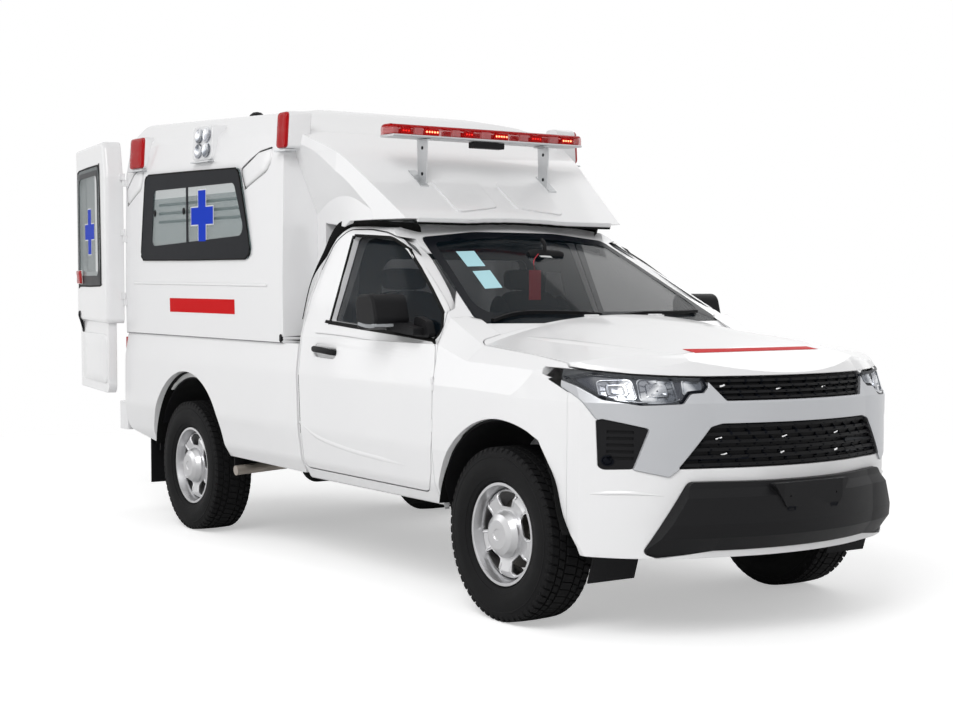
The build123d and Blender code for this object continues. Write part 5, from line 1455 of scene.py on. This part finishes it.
def make_cab_lining():
    """Grey lining over the inner faces of the cab and its doors."""
    heart = Vector((-1.0, 0.0, 1.15))

    def inner(centre, normal):
        room = -1.70 < centre.x < -0.28 and 0.64 < centre.z < 1.74 and abs(centre.y) < 0.90
        return room and (heart - centre).normalized().dot(normal) > 0.25

    def inward(sign):
        return lambda centre, normal: normal.y * sign < -0.5 and sign * centre.y < 0.915

    piece("cab_lining", *lining_faces("cab_shell", inner), "lining_grey")
    for side, sign in sides:
        door = f"front_door_{side}"
        piece(f"door_lining_{side}", *lining_faces(door, inward(sign)), "lining_grey", door)


def make_interior():
    """Bench of the patient room with its padded cushion, dashboard details."""
    shapes = [box(at(-3.48, 0.50, 0.921), at(-2.10, 0.846, 1.18)),
              box(at(-3.48, 0.50, 0.846), at(-2.10, 0.54, 0.9205))]
    base = piece("bench_base", *joined(shapes), "lining_white", round_off=0.006)
    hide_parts("interior_fittings")
    pitch, gap, low, high = 0.4597, 0.002, 1.1805, 1.248
    for i in range(3):
        x0 = -3.478 + i * pitch
        x1 = x0 + pitch - gap
        line = rounded([(x0, low, 0.022), (x1, low, 0.022), (x1, high, 0.028), (x0, high, 0.028)], 4)
        cushioned(f"bench_cushion_{i + 1}", pad_shape(line, 0.482, 0.844, 0.03), "vinyl_blue")
    piece("dash_screen", *box(at(-0.700, -0.12, 1.02), at(-0.668, 0.12, 1.15)), "gloss_black", round_off=0.006)
    vents = [box(at(-0.672, y - 0.05, 1.168 - k * 0.012), at(-0.655, y + 0.05, 1.172 - k * 0.012))
             for y in (-0.62, -0.20, 0.18, 0.62) for k in range(4)]
    piece("dash_vents", *joined(vents), "black_plastic")


# ---------------------------------------------------------------- stage
# camera: focal length, width and shift of the image in pixels; place; turn in degrees
focal, image_width, shift_x, shift_y = 1619.6, 953, 17.4, 39.6
eye = (5.5323 + shift, -4.8375, 1.4322)
yaw, pitch, roll = 145.94, -4.09, 0.22


def make_floor(sizes):
    """Pale floor that keeps the shadow and fades out into the white backdrop."""
    floor = bpy.data.meshes.new("floor")
    floor.from_pydata([(-60, -60, 0), (60, -60, 0), (60, 60, 0), (-60, 60, 0)], [], [(0, 1, 2, 3)])
    ground = bpy.data.objects.new("floor", floor)
    bpy.context.scene.collection.objects.link(ground)
    look = Look("floor_white")
    look.set(Base_Color=look.mix(look.noise(0.4), (0.90, 0.90, 0.90), (0.92, 0.92, 0.92)), Roughness=0.9)
    seen = look.add("ShaderNodeLightPath", out="Is Camera Ray")
    across, along, _ = look.axes()
    across, along = across - 0.5, along + 0.5
    far = across.math("SQRT", across * across + along * along)
    fade = look.add("ShaderNodeMapRange", {"interpolation_type": "SMOOTHSTEP"},
                    {0: far, 1: sizes.fade_start, 2: sizes.fade_end, 3: 1.0, 4: 0.0})
    look.set(Emission_Color=look.mix(seen, (0, 0, 0), (0.42, 0.42, 0.42)), Emission_Strength=1.0, Alpha=fade)
    look.set(Specular_IOR_Level=0.0)
    floor.materials.append(look.material)


def make_backdrop():
    """World that is white to the camera, through glass and in gloss, and dimmer as a light."""
    world = bpy.data.worlds.new("studio")
    bpy.context.scene.world = world
    world.use_nodes = True
    tree = world.node_tree
    back = tree.nodes["Background"]
    back.inputs["Color"].default_value = (1, 1, 1, 1)
    rays = tree.nodes.new("ShaderNodeLightPath").outputs
    seen = rays["Is Camera Ray"]
    for name in ("Is Transmission Ray", "Is Glossy Ray"):
        most = tree.nodes.new("ShaderNodeMath")
        most.operation = "MAXIMUM"
        tree.links.new(seen, most.inputs[0])
        tree.links.new(rays[name], most.inputs[1])
        seen = most.outputs[0]
    level = tree.nodes.new("ShaderNodeMapRange")
    level.inputs["To Min"].default_value = 0.50
    level.inputs["To Max"].default_value = 1.0
    tree.links.new(seen, level.inputs["Value"])
    tree.links.new(level.outputs[0], back.inputs["Strength"])


def make_lamps(sizes):
    """Soft studio light: a key from the right front and two fills."""
    lamps = [
        # name, place, aim, size, power
        ("key", (5.5, -6.5, 7.0), (0.2, 0, 1.0), 5.0, sizes.key_power),
        ("fill", (-6.0, -7.5, 4.0), (-0.5, 0, 1.2), 6.0, sizes.fill_power),
        ("far", (-2.0, 8.0, 6.0), (0, 0, 1.0), 6.0, sizes.fill_power),
    ]
    for name, place, aim, size, power in lamps:
        light = bpy.data.lights.new(name, "AREA")
        light.energy = power
        light.size = size
        lamp = bpy.data.objects.new(name, light)
        bpy.context.scene.collection.objects.link(lamp)
        lamp.location = place
        lamp.rotation_euler = (Vector(aim) - Vector(place)).to_track_quat("-Z", "Y").to_euler()


def make_camera():
    """Camera of the rest view."""
    scene = bpy.context.scene
    data = bpy.data.cameras.new("camera")
    cam = bpy.data.objects.new("camera", data)
    scene.collection.objects.link(cam)
    scene.camera = cam
    data.sensor_width = 36
    data.lens = focal * 36 / image_width
    data.shift_x = shift_x / image_width
    data.shift_y = shift_y / image_width
    data.clip_end = 400
    around, rise, tilt = (math.radians(angle) for angle in (yaw, pitch, roll))
    ahead = Vector((math.cos(rise) * math.cos(around), math.cos(rise) * math.sin(around), math.sin(rise)))
    right = ahead.cross(Vector((0, 0, 1))).normalized()
    up = right.cross(ahead)
    right, up = (right * math.cos(tilt) + up * math.sin(tilt),
                 up * math.cos(tilt) - right * math.sin(tilt))
    cam.matrix_world = Matrix.Translation(eye) @ Matrix((right, up, -ahead)).transposed().to_4x4()


def make_stage():
    """Floor, white backdrop, light and the camera."""
    sizes = bpy.context.scene.ambulance_sizes
    bpy.context.scene.view_settings.view_transform = "Standard"
    make_floor(sizes)
    make_backdrop()
    make_lamps(sizes)
    make_camera()


class AmbulanceSizes(bpy.types.PropertyGroup):
    """Colours and sizes of the dressing and the stage that the sidebar offers."""
    paint_light: bpy.props.FloatVectorProperty(
        name="Paint, light", description="Lighter tone of the body's paint", subtype="COLOR",
        default=(0.84, 0.84, 0.845), min=0, max=1)
    paint_dark: bpy.props.FloatVectorProperty(
        name="Paint, dark", description="Darker tone that the paint drifts to", subtype="COLOR",
        default=(0.80, 0.80, 0.81), min=0, max=1)
    stripe_red: bpy.props.FloatVectorProperty(
        name="Stripes", description="Colour of the stripes' film", subtype="COLOR",
        default=(0.60, 0.004, 0.006), min=0, max=1)
    cross_blue: bpy.props.FloatVectorProperty(
        name="Crosses", description="Colour of the window crosses' film", subtype="COLOR",
        default=(0.004, 0.040, 0.50), min=0, max=1)
    tread_blocks: bpy.props.IntProperty(
        name="Tread blocks", description="Blocks in each row round a tyre", default=60, min=12, max=120)
    fade_start: bpy.props.FloatProperty(
        name="Fade from", description="Distance at which the floor starts to fade", default=5.0, unit="LENGTH")
    fade_end: bpy.props.FloatProperty(
        name="Fade to", description="Distance at which the floor has gone", default=9.0, unit="LENGTH")
    key_power: bpy.props.FloatProperty(
        name="Key light", description="Power of the lamp from the right front", default=440, unit="POWER")
    fill_power: bpy.props.FloatProperty(
        name="Fill lights", description="Power of each of the other two lamps", default=120, unit="POWER")


class Step:
    """Runs its functions in order."""
    makes = ()

    def execute(self, context):
        for make in self.makes:
            make()
        return {"FINISHED"}


class AMBULANCE_OT_stage(Step, bpy.types.Operator):
    """Floor, light and camera"""
    bl_idname, bl_label = "ambulance.stage", "Stage"
    makes = (make_stage,)


class AMBULANCE_OT_nodes(Step, bpy.types.Operator):
    """Give the solids their finishes"""
    bl_idname, bl_label = "ambulance.nodes", "Solids"
    makes = (dress_nodes,)


class AMBULANCE_OT_wheels(Step, bpy.types.Operator):
    """Tyres with tread and wheel trim"""
    bl_idname, bl_label = "ambulance.wheels", "Wheels"
    makes = (make_wheels,)


class AMBULANCE_OT_side(Step, bpy.types.Operator):
    """Side windows, stripes, lamps and trim of the ambulance body, linings of the wheel openings"""
    bl_idname, bl_label = "ambulance.side", "Body sides"
    makes = (make_side_windows, make_side_stripes, make_side_lamps, make_body_trim, make_arches)


class AMBULANCE_OT_bar(Step, bpy.types.Operator):
    """Warning light bar and the fairing's pressed panels"""
    bl_idname, bl_label = "ambulance.bar", "Light bar"
    makes = (make_light_bar, make_fairing_trim)


class AMBULANCE_OT_nose(Step, bpy.types.Operator):
    """Headlamps, grille, bumper and bonnet trim"""
    bl_idname, bl_label = "ambulance.nose", "Nose"
    makes = (make_headlamps, make_grille, make_nose_trim)


class AMBULANCE_OT_screen(Step, bpy.types.Operator):
    """Windscreen, wipers, labels and cab seal"""
    bl_idname, bl_label = "ambulance.screen", "Windscreen"
    makes = (make_windscreen, make_cab_seal)


class AMBULANCE_OT_doors(Step, bpy.types.Operator):
    """Front doors' trim and mirrors"""
    bl_idname, bl_label = "ambulance.doors", "Front doors"
    makes = (make_door_trim, make_mirrors)


class AMBULANCE_OT_rear(Step, bpy.types.Operator):
    """Rear doors' trim and the rear step"""
    bl_idname, bl_label = "ambulance.rear", "Rear"
    makes = (make_rear_doors, make_rear_end)


class AMBULANCE_OT_interior(Step, bpy.types.Operator):
    """Seats, steering wheel, bench, dashboard and cab lining"""
    bl_idname, bl_label = "ambulance.interior", "Interior"
    makes = (make_seats, make_steering_wheel, make_interior, make_cab_lining)


class AMBULANCE_PT_panel(bpy.types.Panel):
    """The ambulance's values and steps"""
    bl_label = "Ambulance"
    bl_idname = "AMBULANCE_PT_panel"
    bl_space_type = "VIEW_3D"
    bl_region_type = "UI"
    bl_category = "Ambulance"

    def draw(self, context):
        for name in AmbulanceSizes.__annotations__:
            self.layout.prop(context.scene.ambulance_sizes, name)
        for step in steps:
            self.layout.operator(step.bl_idname)


steps = [
    AMBULANCE_OT_stage, AMBULANCE_OT_nodes, AMBULANCE_OT_wheels, AMBULANCE_OT_side, AMBULANCE_OT_bar,
    AMBULANCE_OT_nose, AMBULANCE_OT_screen, AMBULANCE_OT_doors, AMBULANCE_OT_rear, AMBULANCE_OT_interior,
]
classes = [AmbulanceSizes, *steps, AMBULANCE_PT_panel]


def register():
    for cls in classes:
        bpy.utils.register_class(cls)
    bpy.types.Scene.ambulance_sizes = bpy.props.PointerProperty(type=AmbulanceSizes)


def unregister():
    del bpy.types.Scene.ambulance_sizes
    for cls in reversed(classes):
        bpy.utils.unregister_class(cls)


def main():
    register()
    for step in steps:
        group, name = step.bl_idname.split(".")
        getattr(getattr(bpy.ops, group), name)()


if __name__ == "__main__":
    main()
